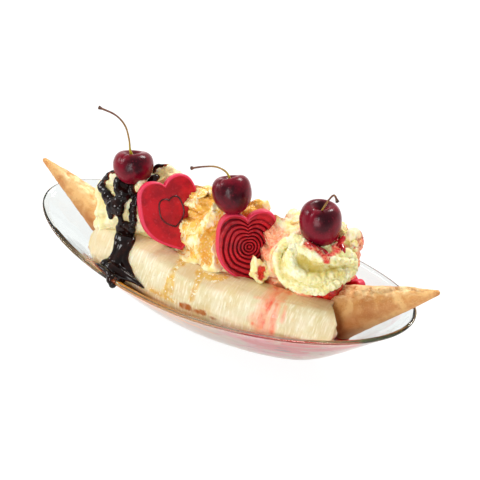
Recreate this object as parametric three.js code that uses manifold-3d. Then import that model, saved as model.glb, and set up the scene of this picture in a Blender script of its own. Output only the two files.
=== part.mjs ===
// Banana split in a clear glass boat dish.
// Millimetres, +Z up, +X along the dish. The origin is the middle of the dish's flat foot.
// The near side of the dish is -Y. Neighbouring pieces keep a small gap to each other.

import * as THREE from 'three';
import Module from 'manifold-3d';
import { mergeVertices } from 'three/addons/utils/BufferGeometryUtils.js';

const wasm = await Module();
wasm.setup();

// ---------- driving dimensions ----------

const GAP = 0.35; // left between neighbouring pieces
const WALL_GAP = 0.5; // and level with the glass's sloping wall

const DISH_HALF_LENGTH = 120;
const DISH_HALF_WIDTH = 50.5;
const DISH_RIM_HEIGHT = 38.8; // at the middle of a long side
const DISH_END_LIFT = 8.5; // how much higher the rim is at the two ends
const DISH_PLAN_POWER = 1.81; // below 2 draws the ends out, like a boat
const DISH_PLAN_ROUNDNESS = 2.05;
const DISH_SIDES = 44;
const DISH_WALL = 3.2;
const DISH_FLOOR = 5;
const FLOOR_FILLET = 2.5; // extra thickness where the wall meets the floor
const FOOT_LENGTH_RATIO = 0.52; // foot outline over rim outline, along X
const FOOT_WIDTH_RATIO = 0.385; // and along Y
const DISH_FLARE_POWER = 0.9; // below 1 bellies the hull out

const POOL_LEVEL = 18.5; // top of the melted ice cream
const OVER_THE_FOOD = 140; // a height that nothing reaches

const BANANA_RADIUS = 17;
const BANANA_OFFSET = 20; // centre line from the dish's long axis, at its middle
const BANANA_HEIGHT = 32.5; // centre line above the table, at its middle
const BANANA_CUT = 6.5; // cut face, from the centre line towards the dish's axis

const SCOOP_LEFT = { centre: [-61.5, 3.5, 51], radii: [23, 19.5, 24.5], seed: 1 };
const SCOOP_MIDDLE = { centre: [-3.5, 4, 57], radii: [25.5, 20.5, 25.5], seed: 2 };
const SCOOP_RIGHT = { centre: [52, 5, 60.5], radii: [27, 20.5, 25], seed: 3 };

const CHERRY_RADIUS = 11.3;
const STEM_RADIUS = 0.75;

const HEART_WIDTH = 37;
const HEART_HEIGHT = 38.5;
const HEART_THICKNESS = 5.5;
const HEART_EDGE_ROUNDING = 1.2;
const HEART_MIDDLE_DROP = -1.5; // the face's rings close in a little below its middle
const RING_GROOVES = 5;
const RING_GROOVE_DEPTH = 1.1;

const WAFER = 1.9; // wall of a rolled wafer

// ---------- finishes ----------

const finish = (color, roughness, more = {}) => (
  new THREE.MeshStandardMaterial({ color, roughness, metalness: 0, ...more })
);
const GLASS = finish(0xdfe8dc, 0.05, { transparent: true, opacity: 0.35 });
const MELTED_CREAM = finish(0xe6cfc0, 0.25);
const BANANA_FLESH = finish(0xf0e2b8, 0.6);
const VANILLA = finish(0xf2e8bc, 0.5);
const CARAMEL_VANILLA = finish(0xf6c860, 0.45);
const BERRY_VANILLA = finish(0xf0907a, 0.45);
const WHIPPED_CREAM = finish(0xeeebc0, 0.55);
const CHERRY_SKIN = finish(0x5c1020, 0.2);
const RED_FONDANT = finish(0xb81c2c, 0.5);
const WAFER_CRUST = finish(0xd8a45f, 0.8);
const CHOCOLATE = finish(0x1a0d0c, 0.12);

// ---------- solids: closed meshes, joins and cuts ----------

const vector = (x, y, z) => new THREE.Vector3(x, y, z);

function toSolid(geometry) {
  const bare = geometry.clone();
  bare.deleteAttribute('normal');
  bare.deleteAttribute('uv');
  const merged = mergeVertices(bare, 1e-4);
  return new wasm.Manifold(new wasm.Mesh({
    numProp: 3,
    vertProperties: new Float32Array(merged.attributes.position.array),
    triVerts: new Uint32Array(merged.index.array),
  }));
}

function toGeometry(solid) {
  const mesh = solid.getMesh();
  const geometry = new THREE.BufferGeometry();
  geometry.setAttribute('position', new THREE.BufferAttribute(mesh.vertProperties, 3));
  geometry.setIndex(new THREE.BufferAttribute(mesh.triVerts, 1));
  return geometry;
}

const union = (first, ...others) => others.reduce((whole, piece) => whole.add(piece), first);
const cut = (body, ...tools) => tools.reduce((rest, tool) => rest.subtract(tool), body);

// A cut can leave loose scraps behind: only the largest piece is the food.
function largest(solid) {
  return solid.decompose().reduce((best, piece) => (piece.volume() > best.volume() ? piece : best));
}

function named(name, shape, material) {
  const geometry = shape.isBufferGeometry ? shape : toGeometry(shape);
  geometry.computeVertexNormals();
  const mesh = new THREE.Mesh(geometry, material);
  mesh.name = name;
  return mesh;
}

// Joins rings of equally many points, and a point at each end, into one closed skin.
function ringStack(firstPole, rings, lastPole) {
  const count = rings[0].length;
  const points = [firstPole, ...rings.flat(), lastPole];
  const triangles = [];
  const at = (ring, step) => 1 + ring * count + (step % count);
  for (let step = 0; step < count; step += 1) {
    triangles.push(0, at(0, step + 1), at(0, step));
    triangles.push(points.length - 1, at(rings.length - 1, step), at(rings.length - 1, step + 1));
    for (let ring = 0; ring + 1 < rings.length; ring += 1) {
      triangles.push(at(ring, step), at(ring, step + 1), at(ring + 1, step + 1));
      triangles.push(at(ring, step), at(ring + 1, step + 1), at(ring + 1, step));
    }
  }
  const geometry = new THREE.BufferGeometry();
  geometry.setFromPoints(points);
  geometry.setIndex(signedVolume(points, triangles) > 0 ? triangles : triangles.reverse());
  return geometry;
}

// Positive where the triangles turn outwards.
function signedVolume(points, triangles) {
  let volume = 0;
  for (let i = 0; i < triangles.length; i += 3) {
    const [a, b, c] = [points[triangles[i]], points[triangles[i + 1]], points[triangles[i + 2]]];
    volume += a.dot(b.clone().cross(c)) / 6;
  }
  return volume;
}

const circleSteps = (count) => Array.from({ length: count }, (_, step) => (2 * Math.PI * step) / count);

// ---------- relief ----------

const smoothstep = (low, high, value) => THREE.MathUtils.smoothstep(value, low, high);
const bell = (distance, width) => Math.exp(-((distance / width) ** 2));

// Uneven waves between -1 and 1, a few times `size` apart.
function waves(point, size, seed) {
  const x = point.x / size;
  const y = point.y / size;
  const z = point.z / size;
  const first = Math.sin(x + 1.7 * seed) * Math.cos(0.9 * y - 2.3 * seed);
  const second = Math.sin(1.1 * z + 0.8 * y + seed) * Math.cos(1.3 * x - z + 3.1 * seed);
  return (first + second) / 2;
}

// Sharp-edged crags between 0 and 1: folds where the waves cross zero.
const crags = (point, size, seed) => 1 - Math.abs(waves(point, size, seed)) * 2;

// A round lump of food: an evenly divided ball, stretched and given relief along each direction.
// `below` is how far its lower half reaches down.
function lump({ centre, radii, detail, relief, below = radii[2], grow = 0 }) {
  const ball = mergeVertices(withoutNormals(new THREE.IcosahedronGeometry(1, detail)), 1e-4);
  const position = ball.attributes.position;
  for (let i = 0; i < position.count; i += 1) {
    const direction = vector(position.getX(i), position.getY(i), position.getZ(i)).normalize();
    const reach = direction.z < 0 ? below : radii[2];
    const onBall = vector(direction.x * radii[0], direction.y * radii[1], direction.z * reach);
    const raised = (relief ? relief(direction, onBall) : 0) + grow;
    onBall.addScaledVector(direction, raised);
    position.setXYZ(i, onBall.x + centre[0], onBall.y + centre[1], onBall.z + centre[2]);
  }
  return ball;
}

function withoutNormals(geometry) {
  geometry.deleteAttribute('normal');
  geometry.deleteAttribute('uv');
  return geometry;
}

// ---------- the glass dish ----------

function rimOutline(turn) {
  const along = Math.abs(Math.cos(turn));
  const across = Math.max(0, 1 - along ** DISH_PLAN_POWER) ** (1 / DISH_PLAN_ROUNDNESS);
  const x = DISH_HALF_LENGTH * Math.cos(turn);
  const y = DISH_HALF_WIDTH * across * Math.sign(Math.sin(turn));
  return vector(x, y, DISH_RIM_HEIGHT + DISH_END_LIFT * along ** 2);
}

// One ring of the hull at a share of the rim's height, moved in from the outer skin and up.
function hullRing(share, inset, rise) {
  const grown = share ** DISH_FLARE_POWER;
  const lengthRatio = FOOT_LENGTH_RATIO + (1 - FOOT_LENGTH_RATIO) * grown;
  const widthRatio = FOOT_WIDTH_RATIO + (1 - FOOT_WIDTH_RATIO) * grown;
  return circleSteps(DISH_SIDES).map((turn) => {
    const rim = rimOutline(turn);
    const outward = vector(rim.x / DISH_HALF_LENGTH ** 2, rim.y / DISH_HALF_WIDTH ** 2, 0).normalize();
    const x = rim.x * lengthRatio - outward.x * inset;
    const y = rim.y * widthRatio - outward.y * inset;
    return vector(x, y, rim.z * share + rise);
  });
}

// The inside wall, kept `clear` of the glass when something lies in the dish.
function innerRing(share, clear) {
  const floorRise = DISH_FLOOR * (1 - share) ** 2;
  const thicker = FLOOR_FILLET * (1 - share) ** 3;
  return hullRing(share, DISH_WALL + thicker + clear, floorRise + clear * (1 - share));
}

const WALL_LEVELS = [0.08, 0.22, 0.42, 0.64, 0.88]; // shares of the rim's height
const FOOT_MARGIN = 14; // from the foot's edge to the flat middle of the floor

// `grow` thickens the glass all round, for the room that it takes.
function dishSkin(grow) {
  const outerWall = WALL_LEVELS.map((share) => hullRing(share, -grow, 0));
  const bead = [
    hullRing(0.965, -0.6 - grow, 0),
    hullRing(0.99, -0.3 - grow, 0.2),
    hullRing(1, 1, 0.5 + grow),
    hullRing(0.99, 2.5 + grow, 0.2),
    hullRing(0.965, 3.1 + grow, 0),
  ];
  const innerWall = WALL_LEVELS.toReversed().map((share) => innerRing(share, grow));
  const foot = [hullRing(0, 8, -grow), hullRing(0, 1.2, -grow), hullRing(0.02, -grow, 0)];
  const floor = [innerRing(0.02, grow), hullRing(0, FOOT_MARGIN, DISH_FLOOR + grow)];
  const rings = [...foot, ...outerWall, ...bead, ...innerWall, ...floor];
  return ringStack(vector(0, 0, -grow), rings, vector(0, 0, DISH_FLOOR + grow));
}

// Everything that food can fill inside the dish, up to a flat top at `top`.
function cavity(top, clear) {
  const wall = [0.02, ...WALL_LEVELS, 1].map((share) => innerRing(share, clear));
  const topRing = wall.at(-1).map((point) => vector(point.x, point.y, OVER_THE_FOOD));
  const floorRing = hullRing(0, FOOT_MARGIN + clear, DISH_FLOOR + clear);
  const [lowest, highest] = [vector(0, 0, DISH_FLOOR + clear), vector(0, 0, OVER_THE_FOOD)];
  const whole = toSolid(ringStack(lowest, [floorRing, ...wall, topRing], highest));
  const slab = new THREE.BoxGeometry(3 * DISH_HALF_LENGTH, 3 * DISH_HALF_WIDTH, 2 * top);
  return whole.intersect(toSolid(slab));
}

// ---------- bananas: two long halves with their cut faces towards the middle ----------

// side is -1 on the near half and 1 on the far half; ends are where the flesh stops along X.
const BANANA_NEAR = { side: -1, start: -78, end: 76, startRadius: 0.55, endRadius: 0.94 };
const BANANA_FAR = { side: 1, start: -58, end: 44, startRadius: 0.6, endRadius: 0.9 };

function bananaCentre(banana, x) {
  const bend = x / 75;
  const inwards = 9 * bend ** 2;
  const lift = x > 0 ? 0 : bend ** 2;
  return vector(x, banana.side * (BANANA_OFFSET - inwards), BANANA_HEIGHT + lift);
}

function bananaRadius(banana, share) {
  const fromStart = Math.sqrt(smoothstep(-0.02, 0.17, share));
  const startCap = banana.startRadius + (1 - banana.startRadius) * fromStart;
  const endCap = 1 - (1 - banana.endRadius) * smoothstep(0.75, 1, share);
  return BANANA_RADIUS * startCap * endCap;
}

// Soft ridges run along the flesh, where the peel's corners were.
function bananaRidge(angle) {
  return 0.45 * Math.cos(5 * angle + 0.6) + 0.2 * Math.cos(11 * angle);
}

function bananaHalf(banana, grow) {
  const slices = 17;
  const arcSteps = 12;
  const rings = [];
  for (let slice = 0; slice <= slices; slice += 1) {
    const share = slice / slices;
    const x = THREE.MathUtils.lerp(banana.start - grow, banana.end + grow, share);
    const centre = bananaCentre(banana, x);
    const radius = bananaRadius(banana, share) + grow;
    const cutDepth = BANANA_CUT * (radius / BANANA_RADIUS) + grow * 0.4;
    const openAngle = Math.acos(Math.min(0.95, cutDepth / radius));
    const ring = [];
    for (let step = 0; step <= arcSteps; step += 1) {
      const angle = openAngle + ((2 * Math.PI - 2 * openAngle) * step) / arcSteps;
      const edgeFade = Math.sin((Math.PI * step) / arcSteps);
      const wobble = edgeFade * (bananaRidge(angle) + 0.4 * waves(vector(x, 0, angle * 9), 9, 4));
      const reach = radius + wobble;
      const y = centre.y - banana.side * reach * Math.cos(angle);
      ring.push(vector(x, y, centre.z + reach * Math.sin(angle)));
    }
    const cutY = centre.y - banana.side * cutDepth;
    ring.push(vector(x, cutY + banana.side * 0.5, centre.z - radius * 0.3));
    ring.push(vector(x, cutY + banana.side * 0.9, centre.z));
    ring.push(vector(x, cutY + banana.side * 0.5, centre.z + radius * 0.3));
    rings.push(ring);
  }
  const [firstRing, lastRing] = [rings[0], rings.at(-1)];
  const middle = (ring) => ring.reduce((sum, p) => sum.add(p), vector(0, 0, 0)).divideScalar(ring.length);
  const tip = middle(firstRing).add(vector(-3.5, 0, 0));
  const brokenEnd = middle(lastRing).add(vector(-2.2, 0, 0));
  return toSolid(ringStack(tip, rings, brokenEnd));
}

// ---------- ice cream ----------

// Folds drawn by the scoop, deeper towards the ragged skirt at its foot.
function scoopRelief(seed) {
  return (direction, point) => {
    const skirt = bell(direction.z + 0.45, 0.22);
    const turn = Math.atan2(direction.y, direction.x);
    const folds = 0.8 * Math.sin(9 * turn + 3 * direction.z + seed) * (1 - direction.z ** 2);
    const rough = 1.9 * crags(point, 6.5, seed) + 1.1 * crags(point, 3.6, seed + 5);
    return rough - 1.6 + folds + 2.4 * skirt * (0.6 + 0.4 * Math.sin(5 * turn + seed));
  };
}

// Each scoop goes down between the bananas and rests on the pool.
function scoop(shape, relief = scoopRelief(shape.seed)) {
  const below = shape.centre[2] - POOL_LEVEL;
  return toSolid(lump({ centre: shape.centre, radii: shape.radii, detail: 5, relief, below }));
}

function ball(centre, radius, detail, depth, seed) {
  const relief = (direction, point) => depth * (crags(point, 4.2, seed) - 0.5);
  return toSolid(lump({ centre, radii: [radius, radius, radius], detail, relief }));
}

// Piped cream: one fat coil that winds into the middle of a dome, around `axis`.
const SWIRL = { centre: [62.5, -8, 69], axis: [0.48, -0.7, 0.52], radii: [19.2, 16.8, 13.5], coils: 1.55 };

const SWIRL_RELIEF = { depth: 4.6, valley: -3.4, frill: 0.7 };

// Only the front of the dome is piped: its back presses into the scoop.
const swirlFront = (direction) => smoothstep(-0.35, 0.1, direction.z);

function swirlRelief(direction, point) {
  const fromAxis = Math.acos(THREE.MathUtils.clamp(direction.z, -1, 1)) / (0.62 * Math.PI);
  const turn = Math.atan2(direction.y, direction.x) / (2 * Math.PI);
  const coil = Math.abs(Math.sin(Math.PI * (fromAxis * SWIRL.coils + turn)));
  const frilled = smoothstep(0.2, 0.9, direction.x + 0.5 * direction.y);
  const frill = SWIRL_RELIEF.frill * crags(point, 2.6, 6) * frilled;
  return swirlFront(direction) * (SWIRL_RELIEF.depth * Math.sqrt(coil) + SWIRL_RELIEF.valley + frill);
}

function swirlSocketRelief(direction) {
  const highest = SWIRL_RELIEF.depth + SWIRL_RELIEF.valley + SWIRL_RELIEF.frill;
  return GAP + swirlFront(direction) * highest;
}

function swirlShape(relief, detail) {
  const axis = vector(...SWIRL.axis).normalize();
  const sideways = vector(0, 0, 1).cross(axis).normalize();
  const upwards = axis.clone().cross(sideways);
  const dome = lump({ centre: [0, 0, 0], radii: SWIRL.radii, detail, relief });
  const frame = new THREE.Matrix4().makeBasis(sideways, upwards, axis).setPosition(vector(...SWIRL.centre));
  return toSolid(dome.applyMatrix4(frame));
}

// ---------- chocolate sauce ----------

// Thick sauce on the left scoop: streams over its skin, each a route and half a width.
const SAUCE_DEPTH = 1.6;
const SAUCE_STREAMS = [
  { route: [[-66, -4, 72], [-59, -4, 73], [-52, 0, 74]], width: 7 },
  { route: [[-68, -2, 71], [-76, -4, 66], [-74, -9, 64.5], [-71, -13, 60], [-66, -15.5, 56]], width: 2.6 },
  { route: [[-60.5, -11, 69], [-58.2, -13, 64.5], [-59, -15, 59], [-56, -15.5, 53]], width: 3.8 },
  { route: [[-52, -6, 71], [-53.5, -12, 61], [-55, -15.5, 54]], width: 2.6 },
  { route: [[-53, 6, 76], [-48, 10, 80], [-41, 12, 78.5]], width: 2.6 },
];

// 1 under the middle of a stream, 0 off it.
function sauceCover(point) {
  const nearest = vector(0, 0, 0);
  const covers = SAUCE_STREAMS.flatMap(({ route, width }) => route.slice(1).map((end, step) => {
    const stretch = new THREE.Line3(vector(...route[step]), vector(...end));
    stretch.closestPointToPoint(point, true, nearest);
    return 1 - smoothstep(width - 1, width + 1.2, nearest.distanceTo(point));
  }));
  return Math.max(...covers);
}

function withSauce(relief, centre) {
  const middle = vector(...centre);
  return (direction, point) => {
    const bare = relief(direction, point);
    const onSkin = point.clone().addScaledVector(direction, bare).add(middle);
    return bare + SAUCE_DEPTH * sauceCover(onSkin);
  };
}

// Where the sauce runs off that scoop over the near banana, and pools against the glass rim.
const SAUCE_LOBES = [
  { centre: [-54.5, -16, 43.5], radii: [9, 8, 8] },
  { centre: [-52.6, -23.5, 41], radii: [8.6, 9, 8.6] },
  { centre: [-52.2, -30, 37], radii: [10, 8, 7.8] },
  { centre: [-51, -36.5, 36.8], radii: [9.4, 7.2, 6.6] },
  { centre: [-43.5, -39, 36.5], radii: [9, 7.2, 6.4] },
  { centre: [-34, -40.5, 35.4], radii: [10, 4.4, 4.4] },
  { centre: [-45.5, -44.5, 39.2], radii: [5.6, 5, 4] },
];

function sauceRun(grow) {
  return union(...SAUCE_LOBES.map((lobe) => toSolid(lump({ ...lobe, detail: 1, grow }))));
}

// ---------- cherries ----------

const CHERRIES = [
  {
    name: 'cherry_left',
    centre: [-59.8, 0, 85.4],
    stretch: 0.98,
    lean: [0, 0.02, 1],
    stem: [[-61.2, 0, 95], [-61.8, 0, 103], [-64.2, 0, 111.3], [-70.5, 0, 116.2], [-81.4, 0, 117.4]],
  },
  {
    name: 'cherry_middle',
    centre: [5.6, 0, 90.4],
    stretch: 1,
    lean: [-0.06, 0.1, 1],
    stem: [[4.6, 0.8, 99.5], [2.3, 0.6, 103.8], [-3.5, 0.3, 105], [-12, 0, 102.4], [-20.6, 0, 98.4]],
  },
  {
    name: 'cherry_right',
    centre: [61.4, 0, 92.2],
    stretch: 1.12,
    lean: [0.16, -0.3, 1],
    stem: [[64, -3.5, 101.5], [66.6, -5.5, 108], [70, -6.5, 115.5], [73.4, -7, 120], [75.6, -7.5, 116.5]],
  },
];

// Half outline of a cherry from its foot to its stem dimple: distance out and height, for radius 1.
function cherryOutline(angle) {
  const round = 1 + 0.05 * Math.cos(2 * angle);
  const dimple = 0.3 * bell(Math.PI - angle, 0.42);
  const dent = 0.06 * bell(angle, 0.3);
  const out = Math.sin(angle) * round;
  const height = -Math.cos(angle) * (0.95 - dimple - dent);
  return [out, height];
}

function cherryBody(cherry, grow) {
  const rows = 10;
  const radius = CHERRY_RADIUS + grow;
  const profile = Array.from({ length: rows + 1 }, (_, row) => {
    const [out, height] = cherryOutline((Math.PI * row) / rows);
    const onAxis = row === 0 || row === rows;
    return new THREE.Vector2(onAxis ? 0 : out * radius, height * radius * cherry.stretch);
  });
  const body = new THREE.LatheGeometry(profile, 15);
  body.rotateX(Math.PI / 2);
  const upright = vector(0, 0, 1);
  const lean = vector(...cherry.lean).normalize();
  body.applyQuaternion(new THREE.Quaternion().setFromUnitVectors(upright, lean));
  body.translate(...cherry.centre);
  return toSolid(body);
}

function cherryStem(cherry) {
  const centre = vector(...cherry.centre);
  const start = vector(...cherry.stem[0]);
  const root = centre.clone().lerp(start, 0.45);
  const route = new THREE.CatmullRomCurve3([root, ...cherry.stem.map((point) => vector(...point))]);
  const section = new THREE.Shape(circleSteps(5).map((turn) => (
    new THREE.Vector2(STEM_RADIUS * Math.cos(turn), STEM_RADIUS * Math.sin(turn))
  )));
  const tube = new THREE.ExtrudeGeometry(section, { extrudePath: route, steps: 10, curveSegments: 1 });
  const end = vector(...cherry.stem.at(-1));
  const knob = new THREE.IcosahedronGeometry(1.35, 0).translate(end.x, end.y, end.z);
  return toSolid(tube).add(toSolid(knob));
}

const cherry = (shape) => cherryBody(shape, 0).add(cherryStem(shape));

// ---------- fondant hearts ----------

// Each heart stands in its own frame: `right` and `up` lie in its face.
const HEARTS = {
  heart_plain: { centre: [-32.3, -9, 67.5], right: [0.61, 0.79, 0], up: [-0.3, 0.22, 0.92], size: 1 },
  heart_rings: { centre: [20.8, -6.5, 64], right: [0.74, 0.68, 0], up: [-0.02, 0.24, 0.97], size: 1 },
  heart_sunk: { centre: [66, 21.8, 33], right: [0.96, -0.28, 0], up: [0, 0.46, 0.89], size: 0.5 },
};

// Outline of a heart 1 wide and 1 high around its middle, by angle from the notch between its lobes.
function heartOutline(turn) {
  const sine = Math.sin(turn);
  const across = (Math.sign(sine) * Math.abs(sine) ** 2.5) / 2;
  const high = 13 * Math.cos(turn) - 5 * Math.cos(2 * turn) - 2 * Math.cos(3 * turn) - Math.cos(4 * turn);
  const notchFill = 3.6 * bell(Math.min(turn, 2 * Math.PI - turn), 0.4);
  return [across, (high + notchFill + 2.6) / 29];
}

function heartFrame(heart) {
  const right = vector(...heart.right).normalize();
  const up = vector(...heart.up);
  up.addScaledVector(right, -up.dot(right)).normalize();
  const face = right.clone().cross(up);
  return new THREE.Matrix4().makeBasis(right, up, face).setPosition(vector(...heart.centre));
}

// Rings of the outline, from the middle of the back round the edge to the middle of the face.
// A face has a ring at each of its shares of the way out, raised by its relief there.
function heartSolid(heart, grow, { shares, relief }) {
  const sides = 26;
  const halfDepth = HEART_THICKNESS / 2 + grow;
  const ringAt = (share, depth, inset) => circleSteps(sides).map((turn) => {
    const [across, high] = heartOutline(turn);
    const width = HEART_WIDTH * heart.size + 2 * grow - 2 * inset;
    const height = HEART_HEIGHT * heart.size + 2 * grow - 2 * inset;
    const drop = HEART_MIDDLE_DROP * (1 - share);
    return vector(across * width * share, high * height * share + drop, depth);
  });
  const edge = HEART_EDGE_ROUNDING;
  const rings = [
    ringAt(0.6, -halfDepth, 0),
    ringAt(1, -halfDepth, edge),
    ringAt(1, -halfDepth + edge, 0),
    ringAt(1, halfDepth - edge, 0),
    ...shares.map((share) => ringAt(share, halfDepth + relief(share), edge * share)),
  ];
  const back = vector(0, HEART_MIDDLE_DROP, -halfDepth);
  const front = vector(0, HEART_MIDDLE_DROP, halfDepth + relief(0));
  const skin = ringStack(back, rings, front);
  return toSolid(skin.applyMatrix4(heartFrame(heart)));
}

const PLAIN_FACE = { shares: [1, 0.6], relief: () => 0 };

// The ringed face steps down and up again at even shares, from the edge to the middle.
const RING_STEPS = 2 * RING_GROOVES + 0.6;
const RINGED_FACE = {
  shares: Array.from({ length: 2 * RING_GROOVES }, (_, step) => 1 - (step + 0.35) / RING_STEPS),
  relief: (share) => {
    const step = Math.round((1 - share) * RING_STEPS - 0.35);
    return share > 0 && step % 2 === 1 ? -RING_GROOVE_DEPTH : 0;
  },
};

const heart = (name) => heartSolid(HEARTS[name], 0, name === 'heart_rings' ? RINGED_FACE : PLAIN_FACE);
const heartRoom = (name) => heartSolid(HEARTS[name], GAP, PLAIN_FACE);

// ---------- wafer cones ----------

// tip is the point outside the dish, mouth the middle of the open end over the pool.
const CONES = {
  cone_left: { tip: [-124.8, 2.5, 65.5], towards: [-89.3, 2.5, 43.4], length: 64, radius: 12.6 },
  cone_right: { tip: [133.4, 3, 72.7], towards: [74.4, 3, 34.1], length: 71, radius: 14 },
};
const CONE_TIP_RADIUS = 1.1;

// A rolled cone: over one turn its radius grows by the wafer, and steps back at the lap.
function coneSkin(cone, grow, hollow) {
  const rows = [0.04, 0.3, 0.65, 1];
  const turns = circleSteps(22);
  const middleRadius = (row) => CONE_TIP_RADIUS + (cone.radius - CONE_TIP_RADIUS) * row;
  const lap = (row, turn) => WAFER * 0.55 * (1 - turn / (2 * Math.PI)) * Math.min(1, row * 3);
  const frayed = (row, turn) => (row === 1 ? 0.8 * Math.sin(3 * turn) * Math.cos(5 * turn + 1) + grow : 0);
  const outside = (row, turn) => middleRadius(row) + lap(row, turn) + grow;
  const inside = (row) => Math.max(0.4, middleRadius(row) - WAFER);
  const ringAt = (row, radiusAt) => turns.map((turn) => {
    const radius = radiusAt(row, turn);
    const along = cone.length * row + frayed(row, turn);
    return vector(radius * Math.cos(turn), radius * Math.sin(turn), along);
  });
  const rings = rows.map((row) => ringAt(row, outside));
  if (hollow) {
    rings.push(...rows.slice(1).reverse().map((row) => ringAt(row, inside)));
  }
  const inmost = vector(0, 0, hollow ? cone.length * 0.16 : cone.length + grow);
  const skin = ringStack(vector(0, 0, -grow), rings, inmost);
  const tip = vector(...cone.tip);
  const direction = vector(...cone.towards).sub(tip).normalize();
  skin.applyQuaternion(new THREE.Quaternion().setFromUnitVectors(vector(0, 0, 1), direction));
  skin.translate(tip.x, tip.y, tip.z);
  return toSolid(skin);
}

// ---------- putting it together ----------

const dish = dishSkin(0);
const insideDish = cavity(OVER_THE_FOOD, WALL_GAP);
const dishRoom = toSolid(dishSkin(GAP));

const nearRoom = bananaHalf(BANANA_NEAR, GAP);
const farRoom = bananaHalf(BANANA_FAR, GAP);

const cherryRooms = CHERRIES.map((shape) => cherryBody(shape, GAP));
const heartRooms = Object.keys(HEARTS).map(heartRoom);
const coneRooms = Object.values(CONES).map((cone) => coneSkin(cone, GAP, false));
const bananaNear = cut(bananaHalf(BANANA_NEAR, 0).intersect(insideDish), ...coneRooms);
const bananaFar = cut(bananaHalf(BANANA_FAR, 0).intersect(insideDish), ...coneRooms);

const pool = cut(cavity(POOL_LEVEL, WALL_GAP), nearRoom, farRoom, ...heartRooms, ...coneRooms);

const sauce = cut(sauceRun(0), dishRoom, nearRoom, ...heartRooms, ...coneRooms);
const cream = cut(swirlShape(swirlRelief, 5), nearRoom, ...cherryRooms, ...heartRooms);

const leftScoop = union(
  scoop(SCOOP_LEFT, withSauce(scoopRelief(SCOOP_LEFT.seed), SCOOP_LEFT.centre)),
  ball([-47, 11, 70], 10, 2, 2, 7),
  ball([-74, -2, 62.5], 8, 2, 1.2, 5),
);
const rightScoop = union(
  scoop(SCOOP_RIGHT),
  ball([30.5, -12, 55], 6, 2, 1.2, 8),
  ball([76, 4, 76], 8, 2, 2.4, 9),
);
const poolRoom = cavity(POOL_LEVEL + GAP, 0);
const allRooms = [poolRoom, nearRoom, farRoom, ...cherryRooms, ...heartRooms, ...coneRooms];
const scoops = {
  scoop_left: [cut(leftScoop, ...allRooms, sauceRun(GAP)), VANILLA],
  scoop_middle: [cut(scoop(SCOOP_MIDDLE), ...allRooms), CARAMEL_VANILLA],
  scoop_right: [cut(rightScoop, ...allRooms, swirlShape(swirlSocketRelief, 4)), BERRY_VANILLA],
};

const model = new THREE.Group();
model.add(named('dish', dish, GLASS));
model.add(named('sauce_pool', largest(pool), MELTED_CREAM));
model.add(named('banana_near', largest(bananaNear), BANANA_FLESH));
model.add(named('banana_far', largest(bananaFar), BANANA_FLESH));
for (const [name, [solid, material]] of Object.entries(scoops)) {
  model.add(named(name, largest(solid), material));
}
model.add(named('cream_swirl', largest(cream), WHIPPED_CREAM));
model.add(named('chocolate_sauce', largest(sauce), CHOCOLATE));
for (const shape of CHERRIES) {
  model.add(named(shape.name, cherry(shape), CHERRY_SKIN));
}
for (const name of Object.keys(HEARTS)) {
  model.add(named(name, heart(name), RED_FONDANT));
}
for (const [name, cone] of Object.entries(CONES)) {
  model.add(named(name, coneSkin(cone, 0, true), WAFER_CRUST));
}

export default model;
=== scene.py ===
"""Looks for the banana split in its glass boat dish. Shapes are worked out in millimetres."""
import math

import bpy
import bmesh
import numpy as np
from mathutils import Matrix, Vector
from mathutils.bvhtree import BVHTree


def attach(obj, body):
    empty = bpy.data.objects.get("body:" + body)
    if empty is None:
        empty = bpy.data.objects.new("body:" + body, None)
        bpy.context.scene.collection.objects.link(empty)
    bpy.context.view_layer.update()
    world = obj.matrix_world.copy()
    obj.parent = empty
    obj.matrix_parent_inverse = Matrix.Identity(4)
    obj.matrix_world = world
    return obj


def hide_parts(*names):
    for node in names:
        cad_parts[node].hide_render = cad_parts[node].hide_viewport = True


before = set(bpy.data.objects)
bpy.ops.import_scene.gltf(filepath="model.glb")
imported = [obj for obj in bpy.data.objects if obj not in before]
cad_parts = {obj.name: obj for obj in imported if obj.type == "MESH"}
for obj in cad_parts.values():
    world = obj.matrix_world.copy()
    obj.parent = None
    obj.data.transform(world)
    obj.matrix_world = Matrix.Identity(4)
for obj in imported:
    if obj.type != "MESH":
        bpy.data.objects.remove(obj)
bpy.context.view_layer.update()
MM = 0.001

# ------------------------------------------------------------------ camera

RIGHT = Vector((0.8526, 0.5225, 0.0)).normalized()
LOOK = Vector((-0.4173, 0.6809, -0.6018)).normalized()
UP = RIGHT.cross(LOOK)
TARGET = Vector((-1.0, 19.2, 44.2))
DISTANCE = 1270.0

camera_data = bpy.data.cameras.new("camera")
camera_data.sensor_width = 36.0
camera_data.lens = 167.7
camera_data.clip_start = 0.05
camera = bpy.data.objects.new("camera", camera_data)
bpy.context.scene.collection.objects.link(camera)
pose = Matrix((RIGHT, UP, -LOOK)).transposed().to_4x4()
pose.translation = (TARGET - LOOK * DISTANCE) * MM
camera.matrix_world = pose
bpy.context.scene.camera = camera

# ------------------------------------------------------------------ numbers as arrays


def smoothstep(low, high, value):
    t = np.clip((value - low) / (high - low), 0, 1)
    return t * t * (3 - 2 * t)


def bell(distance, width):
    return np.exp(-((distance / width) ** 2))


def unit(v):
    v = np.asarray(v, float)
    return v / np.maximum(np.linalg.norm(v, axis=-1, keepdims=True), 1e-12)


def turns(sides):
    """Angles of a ring's points."""
    return 2 * math.pi * np.arange(sides) / sides


def lattice(i, j, k, seed):
    """A random value between -1 and 1 for each whole number i, j, k, the same in every run."""
    h = (i * 374761393 + j * 668265263 + k * 1442695041 + seed * 974711) & 0xFFFFFFFF
    h = ((h ^ (h >> 13)) * 1274126177) & 0xFFFFFFFF
    return ((h ^ (h >> 16)) & 0xFFFF) / 32767.5 - 1


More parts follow.
